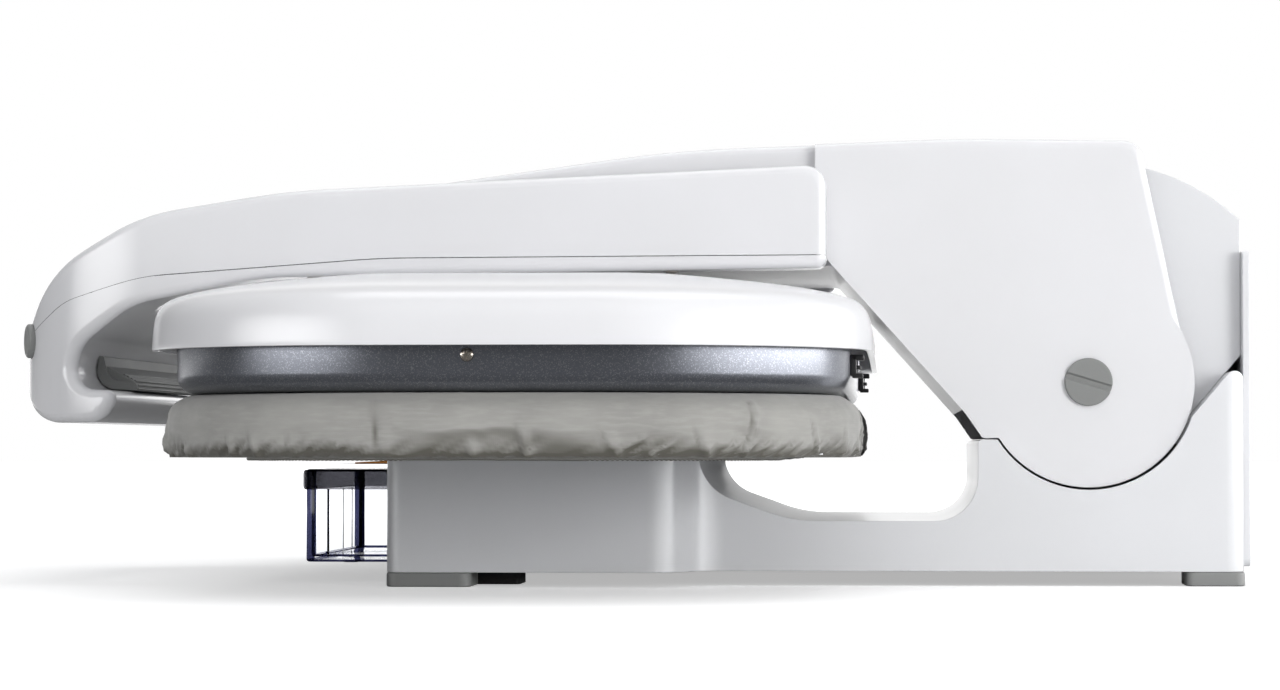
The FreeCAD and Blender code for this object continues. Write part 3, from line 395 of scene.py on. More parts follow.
def flecked_enamel(name):
    """Slate grey lacquer with fine bright metal flecks."""
    material, tree, skin = new_finish(name)
    where = place(tree)
    cells = add(tree, "ShaderNodeTexVoronoi", Vector=where, Scale=FLECK_SCALE)
    spread = add(tree, "ShaderNodeSeparateColor", Color=cells.outputs["Color"]).outputs[0]
    fleck = remap(tree, spread, 0.0, 1.0, FLECK_FROM, 1.0)
    feed(tree, skin, Base_Color=blend_colour(tree, fleck, ENAMEL_GROUND, ENAMEL_FLECK),
         Roughness=remap(tree, noise(tree, where, 60.0), 0.27, 0.30), Metallic=0.9,
         Coat_Weight=0.25, Coat_Roughness=0.12)
    give_relief(tree, skin, spread, 0.00002, 0.08)
    return material


def cotton(name):
    """Grey cotton cover with its weave and uneven tone, with painted shade on the faces that turn
    underneath and in its creases.
    """
    material, tree, skin = new_finish(name)
    cloth = use_group(tree, weave, Threads=COTTON_THREADS)
    slow = remap(tree, noise(tree, place(tree), 30.0, 5.0), 0.0, 1.0, 0.3, 0.7)
    even = blend_colour(tree, slow, COTTON_DARK, COTTON_LIGHT)
    slub = remap(tree, cloth["Shade"], 0.0, 0.35, 0.45, 0.75)
    upper = blend_colour(tree, slub, even, COTTON_SLUB)
    # Painted shade: faces that turn downwards are darkened, standing in for the shade under the board
    under = remap(tree, surface_normal(tree)[2], 1.0, 0.0, -0.6, -0.12)
    # Painted shade in the creases of the pleats and gathers, from the crease marks that gather_cloth
    # writes
    crease = add(tree, "ShaderNodeAttribute", {"attribute_name": "crease"}).outputs["Fac"]
    painted_shade = calculate(tree, "MAXIMUM", under, calculate(tree, "MULTIPLY", crease, CREASE_SHADE))
    feed(tree, skin, Base_Color=blend_colour(tree, painted_shade, upper, COTTON_PAINTED_SHADE), Roughness=0.92,
         Sheen_Weight=0.25, Sheen_Roughness=0.5)
    give_relief(tree, skin, cloth["Height"], 0.00006, 0.3)
    return material


def clear_plastic(name, tint, edge, body):
    """Clear moulded plastic: tinted light passes through, and walls seen edge on go dark."""
    material, tree, skin = new_finish(name)
    mould = use_group(tree, moulded_skin, Grain=60.0)
    give_relief(tree, skin, mould["Height"], 0.0001, 0.15)
    feed(tree, skin, Base_Color=(*edge, 1), Roughness=remap(tree, mould["Shade"], 0.05, 0.12))
    through = add(tree, "ShaderNodeBsdfTransparent", Color=(*tint, 1))
    glancing = add(tree, "ShaderNodeLayerWeight", Blend=0.5).outputs["Facing"]
    solid = remap(tree, glancing, body, 0.9, 0.88, 1.0)
    wall = tree.nodes["Principled BSDF"]
    mix = add(tree, "ShaderNodeMixShader", i0=solid, i1=through.outputs[0], i2=wall.outputs[0])
    tree.links.new(mix.outputs[0], tree.nodes["Material Output"].inputs["Surface"])
    return material


# Colour, shade, roughness, grain, depth of the grain and coat
PLASTICS = {
    "white_gloss": ((0.80, 0.80, 0.82), (0.77, 0.77, 0.785), 0.22, 700.0, 0.00001, 0.3),
    "white_base": ((0.76, 0.765, 0.785), (0.73, 0.735, 0.75), 0.3, 800.0, 0.000015, 0.15),
    "grey_plastic": ((0.27, 0.275, 0.27), (0.22, 0.225, 0.22), 0.5, 1600.0, 0.00005),
    "dark_plastic": ((0.075, 0.075, 0.08), (0.05, 0.05, 0.055), 0.5, 1600.0, 0.00005),
    "black_rubber": ((0.022, 0.022, 0.023), (0.034, 0.033, 0.033), 0.8, 1200.0, 0.00008),
    "clip_black": ((0.035, 0.035, 0.036), (0.02, 0.02, 0.02), 0.35, 1500.0, 0.00004),
}
# Colour, shade, roughness and fineness of the drawn lines
METALS = {
    "sole_aluminium": ((0.72, 0.73, 0.74), (0.60, 0.61, 0.63), 0.4, 300.0),
    "steel": ((0.60, 0.61, 0.62), (0.45, 0.46, 0.48), 0.35, 500.0),
    "bronze": ((0.66, 0.48, 0.26), (0.50, 0.34, 0.18), 0.35, 500.0),
    "screw_metal": ((0.66, 0.61, 0.54), (0.50, 0.45, 0.39), 0.25, 700.0),
}
# Tint of the light that passes, colour of the walls seen edge on and how solid the plastic looks
CLEARS = {
    "tank_clear": ((0.985, 0.988, 0.992), (0.012, 0.014, 0.05), 0.02),
    "flap_tint": ((0.62, 0.40, 0.20), (0.18, 0.07, 0.02), 0.35),
    "lens_amber": ((0.95, 0.50, 0.12), (0.65, 0.16, 0.01), 0.6),
}
finishes = {"pan_enamel": flecked_enamel("pan_enamel"), "pad_cloth": cotton("pad_cloth")}
for maker, looks in ((plastic, PLASTICS), (metal, METALS), (clear_plastic, CLEARS)):
    for slot_name, look in looks.items():
        finishes[slot_name] = maker(slot_name, *look)
for subpart in frame["record"]["subparts"]:
    packed = nodes[subpart["node"]]
    packed.data.materials.clear()
    packed.data.materials.append(finishes[subpart["material_slot"]])


# Board and shoe outlines

pad_low, pad_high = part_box("board_pad")
cover_low, cover_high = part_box("shoe_cover")
BOARD_Y = (pad_low[1] + pad_high[1]) / 2
PAD_HALF = ((pad_high[0] - pad_low[0]) / 2, (pad_high[1] - pad_low[1]) / 2)
PAD_CORNER = 104 * MM
FLAT_X = PAD_HALF[0] - PAD_CORNER
FLAT_Y = PAD_HALF[1] - PAD_CORNER
PAD_SWELL = 1.2 * MM
PAD_TOP = 78.1 * MM
PAD_WIDEST = 70 * MM
PAD_UPPER = ((0.8, 2.8), (3, 5.2), (7, 7.0), (14, 7.8), (22, 7.9))
PAD_LOWER = (
    (0.3, 6), (0.8, 10), (1.6, 12.2), (2.7, 14), (4, 15.2), (7, 16), (16, 16.3), (26, 16.3), (34, 16.2),
)
PAD_VOXEL = 3.4 * MM
PAD_FRAMES = 14
PAD_REACH = 5 * MM
PAD_DRAWN = 1.0 * MM
PAD_FLAT_INSET = 26 * MM
PAD_PLEAT_TOP = 75 * MM
PAD_LOWEST = 53.75 * MM
PLATE_CLEARANCE = 0.7 * MM
RIM_QUARTER = PAD_HALF[0] + PAD_HALF[1] - PAD_CORNER * (2 - math.pi / 2)
PLEAT_SEED = 11
PLEAT_COUNT = 66
PLEAT_PLACE = (0.1, 0.9)
PLEAT_WIDTH = (2.6, 4.4)
PLEAT_HEIGHT = (0.7, 2.4)
PLEAT_START = (0, 16)
PLEAT_LEAN = (-0.35, 0.55)
PLEAT_GROWTH = 9 * MM
PLEAT_STEEP = 0.55
PLEAT_SHARPNESS = 1.3
# Where along a pleat and how wide the painted shade of its crease lies, as shares of its width
PLEAT_FOOT = 0.62
PLEAT_CREASE = 0.35
GATHER_SLANT = 1.1
GATHER_SPACING = 7 * MM
GATHER_NARROW = 3
GATHER_HEIGHT = 0.9 * MM
GATHER_DROP = 13.5 * MM
GATHER_GROWTH = 4 * MM
# Where in a gather and how wide the painted shade of its crease lies
GATHER_FOOT = 0.3
GATHER_CREASE = 0.16
PUCKER_SPACING = 22 * MM
PUCKER_DROP = 12 * MM
PUCKER_HEIGHT = 1.3 * MM
GATHER_LAYER, HEM_LAYER, PUCKER_LAYER = 3, 5, 9
HEM_INSET = 34 * MM
HEM_CUTS = 24
HEM_HEIGHT = 53.3 * MM
HEM_RADIUS = 0.75 * MM
HEM_STITCH = 0.45 * MM
HEM_STITCH_SHARE = 0.12
HEM_WAVE = 12 * MM
HEM_LIFT = 0.12 * MM
PAN_HALF = (313 * MM, 133 * MM)
PAN_CORNER = 97 * MM
PAN_RIM = 96.5 * MM
PAN_ROUND = 7 * MM
PAN_BENDS = 6
PAN_WALL = 1.8 * MM
PAN_LIP_INSET = 0.02 * MM
PAN_LIP_DROP = 0.4 * MM
STEAM_COLUMNS = 8
STEAM_STEP = 70 * MM
STEAM_ROWS = (-98 * MM, -25 * MM, 25 * MM, 98 * MM)
STEAM_RADIUS = 2 * MM
STEAM_DEPTH = 4 * MM
STEAM_BELOW = 1 * MM
COVER_CORNER = 106 * MM
COVER_WALL = 2.5 * MM
COVER_EDGE = 0.9 * MM
COVER_RINGS = ((0.6, 0.37), (2.5, 0.531), (7, 0.666), (25, 0.788), (47, 0.871), (70, 0.948), (88, 1))
FACING_DOWN = -0.6


def rounded_plate(half, corner, height, steps=14):
    """A flat plate over the board's middle with round corners, facing up."""
    deselect()
    bpy.ops.mesh.primitive_plane_add(size=2, location=(0, BOARD_Y, height))
    plate = bpy.context.object
    plate.scale = (half[0], half[1], 1)
    bpy.ops.object.transform_apply()
    edit(plate, "VERT", "SELECT")
    bpy.ops.mesh.bevel(offset=corner, segments=steps, affect="VERTICES")
    deselect()
    return plate


def draw_rings(piece, rings, facing=1):
    """Draw the upper or the lower face in and along its normal, by rings of (inset, height)."""
    edit(piece)
    pick_faces(piece, lambda middle, normal: normal.z * facing > 0.9)
    last_inset, last_height = 0, 0
    for inset, height in rings:
        bpy.ops.mesh.inset(thickness=inset - last_inset, depth=height - last_height)
        last_inset, last_height = inset, height
    deselect()


def make_shoe_cover():
    """Crowned cover over the heated pan, drawn up from its rim in rings and smoothed."""
    half = (cover_high[0], (cover_high[1] - cover_low[1]) / 2)
    cover = rounded_plate(half, COVER_CORNER, cover_low[2])
    tall = cover_high[2] - cover_low[2]
    draw_rings(cover, [(inset * MM, share * tall) for inset, share in COVER_RINGS])
    apply_modifier(cover, "SUBSURF", levels=2, render_levels=2)
    apply_modifier(cover, "SOLIDIFY", thickness=COVER_WALL, offset=-1)
    round_edges(cover, COVER_EDGE, 50)
    settle(cover, "shoe_cover_shell", "shoe", "white_gloss", ("shoe_cover",), crease=50)


def make_shoe_pan():
    """Heated pan drawn down from its rim, with a rounded lower edge and rows of steam holes."""
    pan = rounded_plate(PAN_HALF, PAN_CORNER, PAN_RIM)
    turn_over(pan)
    tall = PAN_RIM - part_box("shoe_pan")[0][2]
    rings = [(PAN_LIP_INSET, PAN_LIP_DROP)]
    for step in range(PAN_BENDS + 1):
        turn = math.radians(90 * step / PAN_BENDS)
        inset = PAN_ROUND * (1 - math.cos(turn)) + PAN_LIP_INSET
        rings.append((inset, tall - PAN_ROUND + PAN_ROUND * math.sin(turn)))
    draw_rings(pan, rings, facing=-1)
    apply_modifier(pan, "SOLIDIFY", thickness=PAN_WALL, offset=-1)
    cut_away(pan, steam_hole_tool())
    settle(pan, "shoe_pan_shell", "shoe", "pan_enamel", ("shoe_pan",), crease=35)


def steam_hole_tool():
    """All the steam holes as one cutting tool."""
    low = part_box("shoe_pan")[0][2]
    holes = []
    for column in range(1 - STEAM_COLUMNS, STEAM_COLUMNS, 2):
        for row in STEAM_ROWS:
            hole = cylinder_blank(STEAM_RADIUS, STEAM_DEPTH, 20)
            at = (column * STEAM_STEP / 2, BOARD_Y + row, low - STEAM_BELOW)
            holes.append(stand(hole, at, (0, 0, 1)))
    return join(holes)


def depth_inside(point):
    """How far a point lies inside the board cover's outline, seen from above."""
    across = abs(point.x) - FLAT_X
    along = abs(point.y - BOARD_Y) - FLAT_Y
    outside = math.hypot(max(across, 0), max(along, 0)) + min(max(across, along), 0)
    return PAD_CORNER - outside


def make_pad_form():
    """The stuffed cover as a closed form, a little smaller than it becomes."""
    half = (PAD_HALF[0] - PAD_SWELL, PAD_HALF[1] - PAD_SWELL)
    upper = rounded_plate(half, PAD_CORNER - PAD_SWELL, PAD_WIDEST)
    draw_rings(upper, scaled(PAD_UPPER))
    lower = rounded_plate(half, PAD_CORNER - PAD_SWELL, PAD_WIDEST)
    turn_over(lower)
    draw_rings(lower, scaled(PAD_LOWER), facing=-1)
    form = join([upper, lower])
    edit(form, "VERT", "SELECT")
    bpy.ops.mesh.remove_doubles(threshold=WELD)
    bpy.ops.mesh.normals_make_consistent(inside=False)
    deselect()
    return form


def make_board_cover():
    """Cotton cover drawn round the padded board and gathered underneath by its hem."""
    cover = make_pad_form()
    activate(cover)
    cover.data.remesh_voxel_size = PAD_VOXEL
    bpy.ops.object.voxel_remesh()
    drop_faces(cover, lambda middle, normal: normal.z < FACING_DOWN and depth_inside(middle) > HEM_INSET)
    press_out(cover)
    keep_off_board(cover)
    apply_modifier(cover, "SUBSURF", levels=1, render_levels=1)
    gather_cloth(cover)
    settle(cover, "board_cover", "base", "pad_cloth", ("board_pad",), crease=180)


def press_out(cover):
    """Let the filling press the cloth out between the flat top and the hem for a few frames."""
    rest = [(vertex.co.copy(), vertex.normal.copy()) for vertex in cover.data.vertices]
    held = cover.vertex_groups.new(name="held")
    for vertex in cover.data.vertices:
        inside = depth_inside(vertex.co)
        on_top = vertex.co.z > PAD_WIDEST and inside > PAD_FLAT_INSET
        on_hem = vertex.co.z < PAD_WIDEST and inside > HEM_INSET - PAD_VOXEL
        if on_top or on_hem:
            held.add([vertex.index], 1.0, "REPLACE")
    cloth = cover.modifiers.new("Cloth", "CLOTH")
    settings = cloth.settings
    settings.quality = 5
    settings.mass = 0.2
    settings.tension_stiffness = 20
    settings.compression_stiffness = 5
    settings.shear_stiffness = 5
    settings.bending_stiffness = 0.05
    settings.use_pressure = True
    settings.uniform_pressure_force = 4
    settings.vertex_group_mass = held.name
    settings.effector_weights.gravity = 0
    for step in range(1, PAD_FRAMES + 1):
        bpy.context.scene.frame_set(step)
    activate(cover)
    bpy.ops.object.modifier_apply(modifier=cloth.name)
    bpy.context.scene.frame_set(1)
    cover.vertex_groups.clear()
    for vertex, (start, normal) in zip(cover.data.vertices, rest):
        moved = vertex.co - start
        if moved.length > PAD_REACH:
            moved *= PAD_REACH / moved.length
        drawn_in = max(-moved.dot(normal) - PAD_DRAWN, 0)
        vertex.co = start + moved + normal * drawn_in
        vertex.co.z = min(vertex.co.z, PAD_TOP)


def keep_off_board(cover):
    """Bring the cloth's lower half round the board's plate where it was drawn through it."""
    plate_low, plate_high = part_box("board_plate")
    wrap = PAD_HALF[0] - plate_high[0] - PLATE_CLEARANCE
    under = plate_low[2] - PLATE_CLEARANCE
    for vertex in cover.data.vertices:
        too_far = depth_inside(vertex.co) - wrap
        if vertex.co.z > PAD_WIDEST or vertex.co.z < under or too_far < 0:
            continue
        if vertex.co.z > plate_high[2]:
            vertex.co += outward(vertex.co) * too_far
        else:
            vertex.co.z = under


def outward(point):
    """The way out of the board cover's outline at a point, seen from above."""
    along = point.y - BOARD_Y
    core = Vector((min(max(point.x, -FLAT_X), FLAT_X), min(max(along, -FLAT_Y), FLAT_Y), 0))
    return (Vector((point.x, along, 0)) - core).normalized()


def rim_distance(point):
    """How far round the board cover's outline a point lies, seen from above."""
    across = abs(point.x) - FLAT_X
    along = abs(point.y - BOARD_Y) - FLAT_Y
    if along <= 0:
        passed = abs(point.y - BOARD_Y)
    elif across <= 0:
        passed = RIM_QUARTER - abs(point.x)
    else:
        passed = FLAT_Y + PAD_CORNER * math.atan2(along, across)
    if point.y >= BOARD_Y:
        return passed if point.x >= 0 else 2 * RIM_QUARTER - passed
    return 4 * RIM_QUARTER - passed if point.x >= 0 else 2 * RIM_QUARTER + passed


def make_pleats():
    """Pinched pleats round the rim: place, width, height, depth where each starts, and lean."""
    draw = random.Random(PLEAT_SEED)
    spacing = 4 * RIM_QUARTER / PLEAT_COUNT
    pleats = []
    for index in range(PLEAT_COUNT):
        at = (index + draw.uniform(*PLEAT_PLACE)) * spacing
        width = draw.uniform(*PLEAT_WIDTH) * MM
        height = draw.uniform(*PLEAT_HEIGHT) * MM
        start = draw.uniform(*PLEAT_START) * MM
        lean = draw.uniform(*PLEAT_LEAN)
        pleats.append((at, width, height, start, lean))
    return pleats


def pleats_at(pleats, passed, down):
    """How far pleats raise the cloth at a place on the rim and a way down, and the strength of the
    painted shade in the crease at their foot.
    """
    raised = 0
    crease = 0
    for at, width, height, start, lean in pleats:
        aside = passed - at - lean * down
        if abs(aside) > width or down < start:
            continue
        # Painted shade of the crease along the pleat's foot
        foot = 1 - abs(aside + PLEAT_FOOT * width) / (PLEAT_CREASE * width)
        sharp = 1 - abs(aside) / (width if aside > 0 else width * PLEAT_STEEP)
        grown = min((down - start) / PLEAT_GROWTH, 1)
        raised = max(raised, height * grown * max(sharp, 0) ** PLEAT_SHARPNESS)
        crease = max(crease, foot * grown)
    return raised, crease


def gather_cloth(cover):
    """Raise pleats on the sides and slanting gathers near the hem, and mark their creases for painted
    shade in the cloth's colour.
    """
    pleats = make_pleats()
    normals = [vertex.normal.copy() for vertex in cover.data.vertices]
    painted_crease_shade = cover.data.attributes.new("crease", "FLOAT", "POINT").data
    for vertex, normal in zip(cover.data.vertices, normals):
        inward = max(depth_inside(vertex.co), 0)
        drop = PAD_PLEAT_TOP - vertex.co.z
        if drop <= 0 or inward > HEM_INSET + PAD_VOXEL:
            continue
        passed = rim_distance(vertex.co)
        raised, crease = pleats_at(pleats, passed, drop + inward)
        along = (passed + (inward + drop) * GATHER_SLANT) / GATHER_SPACING
        slanted = noise_at(Vector((along, 0, GATHER_LAYER)))
        fold = max(1 - abs(slanted) * GATHER_NARROW, 0)
        under = max(0, min((drop - GATHER_DROP) / GATHER_GROWTH, 1))
        pucker = noise_at(Vector((passed / PUCKER_SPACING, drop / PUCKER_DROP, PUCKER_LAYER)))
        pucker *= min(drop / PUCKER_DROP, 1)
        raised += fold * under * GATHER_HEIGHT + pucker * PUCKER_HEIGHT
        # Painted shade along the foot of each gather, kept with the pleats' crease shade
        foot = 1 - abs(slanted - GATHER_FOOT) / GATHER_CREASE
        painted_crease_shade[vertex.index].value = max(crease, foot * under, 0)
        vertex.co += normal * raised
        vertex.co.z = max(vertex.co.z, PAD_LOWEST)


def make_cover_hem():
    """Rolled and overlocked hem of the board cover, drawn tight under the board."""
    half = (PAD_HALF[0] - HEM_INSET, PAD_HALF[1] - HEM_INSET)
    hem = rounded_plate(half, PAD_CORNER - HEM_INSET, HEM_HEIGHT)
    edit(hem, "EDGE", "SELECT")
    bpy.ops.mesh.delete(type="ONLY_FACE")
    edit(hem, "EDGE", "SELECT")
    bpy.ops.mesh.subdivide(number_cuts=HEM_CUTS)
    activate(hem)
    bpy.ops.object.convert(target="CURVE")
    roll = bpy.context.object
    roll.data.bevel_depth = HEM_RADIUS
    roll.data.bevel_resolution = 3
    bpy.ops.object.convert(target="MESH")
    roll = bpy.context.object
    for vertex in roll.data.vertices:
        passed = rim_distance(vertex.co)
        stitch = 1 + HEM_STITCH_SHARE * math.sin(passed / HEM_STITCH)
        wave = noise_at(Vector((passed / HEM_WAVE, 0, HEM_LAYER)))
        vertex.co.z = HEM_HEIGHT + (vertex.co.z - HEM_HEIGHT) * stitch + wave * HEM_LIFT
    settle(roll, "board_cover_hem", "base", "pad_cloth", crease=60)


make_shoe_cover()
make_shoe_pan()
make_board_cover()
make_cover_hem()


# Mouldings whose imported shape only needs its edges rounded

# Node, slot and width of the rounding in millimetres
MOULDINGS = (
    ("base_shell", "white_base", 1.6),
    ("rear_tower", "white_base", 1.2),
    ("arm_shell", "white_gloss", 1.0),
    ("handle_top_shell", "white_gloss", 0.5),
    ("handle_lower_shell", "white_gloss", 0.5),
    ("front_feet", "grey_plastic", 0.8),
    ("rear_feet", "grey_plastic", 0.8),
    ("hinge_caps", "grey_plastic", 0.8),
)
for moulding, moulding_slot, rounding in MOULDINGS:
    soft_edged(moulding, moulding_slot, rounding * MM)


# Rib inside the base, behind the gap below the hinge

BASE_RIB_LOW = (-1.5 * MM, 172 * MM, 8 * MM)
BASE_RIB_HIGH = (1.5 * MM, 194 * MM, 47 * MM)
BASE_RIB_EDGE = 0.4 * MM

settle(block(BASE_RIB_LOW, BASE_RIB_HIGH, BASE_RIB_EDGE), "base_rib", "base", "white_base")


# Screws

# Shares of the head's radius
SCREW_TALL = 0.74
SCREW_SIDE = 0.3
SCREW_DOME = ((0.1, 0.2), (0.35, 0.36), (0.7, 0.44))
SCREW_CROSS = ((0.62, 0.12), (0.12, 0.62))
SCREW_CROSS_EDGE = 0.02
HANDLE_SCREW_RADIUS = 3.2 * MM


def screw_head(at, axis, radius):
    """A domed head with a cross recess."""
    head = cylinder_blank(radius, radius * SCREW_SIDE, 32)
    draw_rings(head, [(radius * inset, radius * up) for inset, up in SCREW_DOME])
    for length, width in SCREW_CROSS:
        low = (-length * radius, -width * radius, radius * SCREW_SIDE)
        high = (length * radius, width * radius, radius)
        cut_away(head, block(low, high, radius * SCREW_CROSS_EDGE))
    return stand(head, at, axis)


def make_shoe_screws():
    """One screw at each end of the pan."""
    low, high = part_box("shoe_screws")
    radius = (high[1] - low[1]) / 2
    middle = middle_of("shoe_screws")
    end = PAN_HALF[0]
    heads = [screw_head((side * end, middle.y, middle.z), (side, 0, 0), radius) for side in (1, -1)]
    settle(join(heads), "shoe_screw_heads", "shoe", "screw_metal", ("shoe_screws",))


def make_handle_screws():
    """Screws that hold the handle's half shells together from below."""
    low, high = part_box("handle_screws")
    radius = HANDLE_SCREW_RADIUS
    tall = radius * SCREW_TALL
    heads = []
    for side in (1, -1):
        for along in (low[1] + radius, high[1] - radius):
            seat = min(vertex.co.z for vertex in nodes["handle_screws"].data.vertices
                       if abs(vertex.co.y - along) < 2 * radius)
            heads.append(screw_head((side * (high[0] - radius), along, seat + tall), (0, 0, -1), radius))
    settle(join(heads), "handle_screw_heads", "handle", "screw_metal", ("handle_screws",))


make_shoe_screws()
make_handle_screws()


# Back panel with its vents

PANEL_SCREWS = ((102, 18), (102, 130), (-102, 18), (-102, 130))
PANEL_SCREW_RADIUS = 2.6 * MM
PANEL_BORE = 3.6 * MM
PANEL_BORE_DEPTH = 2.4 * MM
VENT_ROWS = 7
VENT_STEP = 5 * MM
VENT_LOWEST = 88 * MM
VENT_HALF = 17 * MM
VENT_TALL = 2.2 * MM
VENT_COLUMNS = (-48 * MM, 0, 48 * MM)
VENT_DEPTH = 1.8 * MM
VENT_EDGE = VENT_TALL * 0.3
PANEL_EDGE = 0.5 * MM


def make_back_panel():
    """Back panel with three groups of slots whose floors are dark as painted shade of deep vents, and
    four sunk screws.
    """
    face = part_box("back_panel")[1][1]
    slots = []
    for column in VENT_COLUMNS:
        for row in range(VENT_ROWS):
            low = (column - VENT_HALF, face - VENT_DEPTH, VENT_LOWEST + row * VENT_STEP)
            high = (column + VENT_HALF, face + VENT_DEPTH, VENT_LOWEST + row * VENT_STEP + VENT_TALL)
            slots.append(block(low, high, VENT_EDGE))
    bores = []
    heads = []
    for across, up in PANEL_SCREWS:
        seat = (across * MM, face - PANEL_BORE_DEPTH, up * MM)
        bores.append(stand(cylinder_blank(PANEL_BORE, 2 * PANEL_BORE_DEPTH, 32), seat, (0, 1, 0)))
        heads.append(screw_head(seat, (0, 1, 0), PANEL_SCREW_RADIUS))
    panel = soft_edged("back_panel", "white_base", PANEL_EDGE, cutters=(join(slots), join(bores)))
    # Painted shade: the floors of the shallow slots take dark plastic, standing in for the shade inside
    # deep vents
    panel.data.materials.append(finishes["dark_plastic"])
    vents_end = VENT_LOWEST + VENT_ROWS * VENT_STEP
    for polygon in panel.data.polygons:
        sunk = polygon.normal.y > 0.5 and polygon.center.y < face - VENT_DEPTH / 2
        if sunk and VENT_LOWEST < polygon.center.z < vents_end:
            polygon.material_index = 1
    settle(join(heads), "back_panel_screws", "base", "screw_metal")


make_back_panel()


# Spring clips behind the shoe

CLIP_STEPS = (
    ((0.5, 0.0, 0.7), (13.5, 2.6, 9.2)),
    ((0.5, 0.8, 7.0), (13.5, 5.6, 9.2)),
    ((1.5, 1.0, 3.4), (12.5, 4.4, 5.0)),
    ((0.5, 0.8, 0.0), (13.5, 5.2, 1.8)),
)
CLIP_LEAF = ((3.0, 2.8, 1.4), (11.0, 3.5, 8.0))
CLIP_WIDTH = 14 * MM
CLIP_EDGE = 0.5 * MM
LEAF_EDGE = 0.2 * MM


def clip_block(side, low, high, round_by):
    """One step of a clip, placed from the inner lower corner of its box."""
    start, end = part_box("rear_clips")
    inner = end[0] - CLIP_WIDTH
    near, far = sorted((side * (inner + low[0] * MM), side * (inner + high[0] * MM)))
    first = (near, start[1] + low[1] * MM, start[2] + low[2] * MM)
    second = (far, start[1] + high[1] * MM, start[2] + high[2] * MM)
    return block(first, second, round_by)


def make_rear_clips():
    """Black clip bodies with stepped hooks, each with a steel leaf spring."""
    bodies = []
    leaves = []
    for side in (1, -1):
        for low, high in CLIP_STEPS:
            bodies.append(clip_block(side, low, high, CLIP_EDGE))
        leaves.append(clip_block(side, *CLIP_LEAF, LEAF_EDGE))
    settle(join(bodies), "rear_clip_bodies", "shoe", "clip_black", ("rear_clips",))
    settle(join(leaves), "rear_clip_springs", "shoe", "steel")


make_rear_clips()


# Parting line of the handle

SEAM_THICK = 0.35 * MM
PARTING_LOW = 103.5 * MM
PARTING_HIGH = 139.5 * MM


def make_handle_seam():
    """Dark strip in the groove between the handle's half shells, a painted shadow of the gap along the
    parting line.
    """
    seam = copy_of_node("handle_top_shell")

    def elsewhere(middle, normal):
        return normal.z > FACING_DOWN or not PARTING_LOW < middle.z < PARTING_HIGH

    drop_faces(seam, elsewhere)
    apply_modifier(seam, "SOLIDIFY", thickness=SEAM_THICK, offset=0)
    # Painted shadow: dark plastic along the parting line where the gap between the shells is in shade
    settle(seam, "handle_seam_shadow", "handle", "dark_plastic")


make_handle_seam()


# Steam buttons

BUTTON_AXIS = Vector((0.38, -0.925, 0)).normalized()
BUTTON_DISH = ((0.3, 0.5), (0.9, 0.9), (1.7, 1.0), (3.2, 0.6), (5.2, 0.4))


def make_steam_button(side):
    """Push button with a rounded rim and a shallow finger dish."""
    node = "steam_button_" + side
    axis = BUTTON_AXIS if side == "right" else Vector((-BUTTON_AXIS.x, BUTTON_AXIS.y, 0))
    low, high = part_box(node)
    near, far = reach_along(node, axis)
    button = cylinder_blank((high[2] - low[2]) / 2, far - near - BUTTON_DISH[2][1] * MM)
    draw_rings(button, scaled(BUTTON_DISH))
    stand(button, foot_of(node, axis), axis)
    settle(button, node + "_cap", body_of_node(node), "grey_plastic", (node,))


make_steam_button("right")
make_steam_button("left")


# Control panel on the arm's nose

PANEL_SLOPE = math.atan2(23, 30)
PANEL_OUT = Vector((0, -math.sin(PANEL_SLOPE), math.cos(PANEL_SLOPE)))
PANEL_UP = Vector((0, math.cos(PANEL_SLOPE), math.sin(PANEL_SLOPE)))
DIAL_SEAT = 0.3 * MM
DIAL_SKIRT = 1.4 * MM
DIAL_SKIRT_EDGE = ((0.5, 0.4),)
DIAL_CROWN = ((0.6, 0.5), (1.6, 0.8), (3.2, 0.7))
KNOB_SHARE = 0.82
KNURLS = 36
KNURL_INSET = 0.1 * MM
KNURL_RISE = 0.4 * MM
POINTER_HALF = 0.6 * MM
POINTER_START = 1 * MM
POINTER_SHARE = 0.76
POINTER_TALL = 0.6 * MM
POINTER_EDGE = 0.2 * MM
POINTER_SINK = 0.4 * MM
INDEX_DOTS = 7
DOTS_RADIUS = 13.5 * MM
DOTS_ARC = 96
DOT_SMALLEST = 0.45
DOT_GROWTH = 0.06
DOT_TALL = 0.25 * MM
DOT_EDGE = ((0.15, 0.08),)
LENS_RADIUS = 3 * MM
LENS_DOME = ((0.25, 0.5), (0.8, 0.9), (1.6, 1.15), (2.3, 1.2))


def panel_point(node):
    """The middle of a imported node, brought onto the panel's face along its normal."""
    middle = middle_of(node)
    return middle + PANEL_OUT * (reach_along("control_panel", PANEL_OUT)[1] - PANEL_OUT.dot(middle))


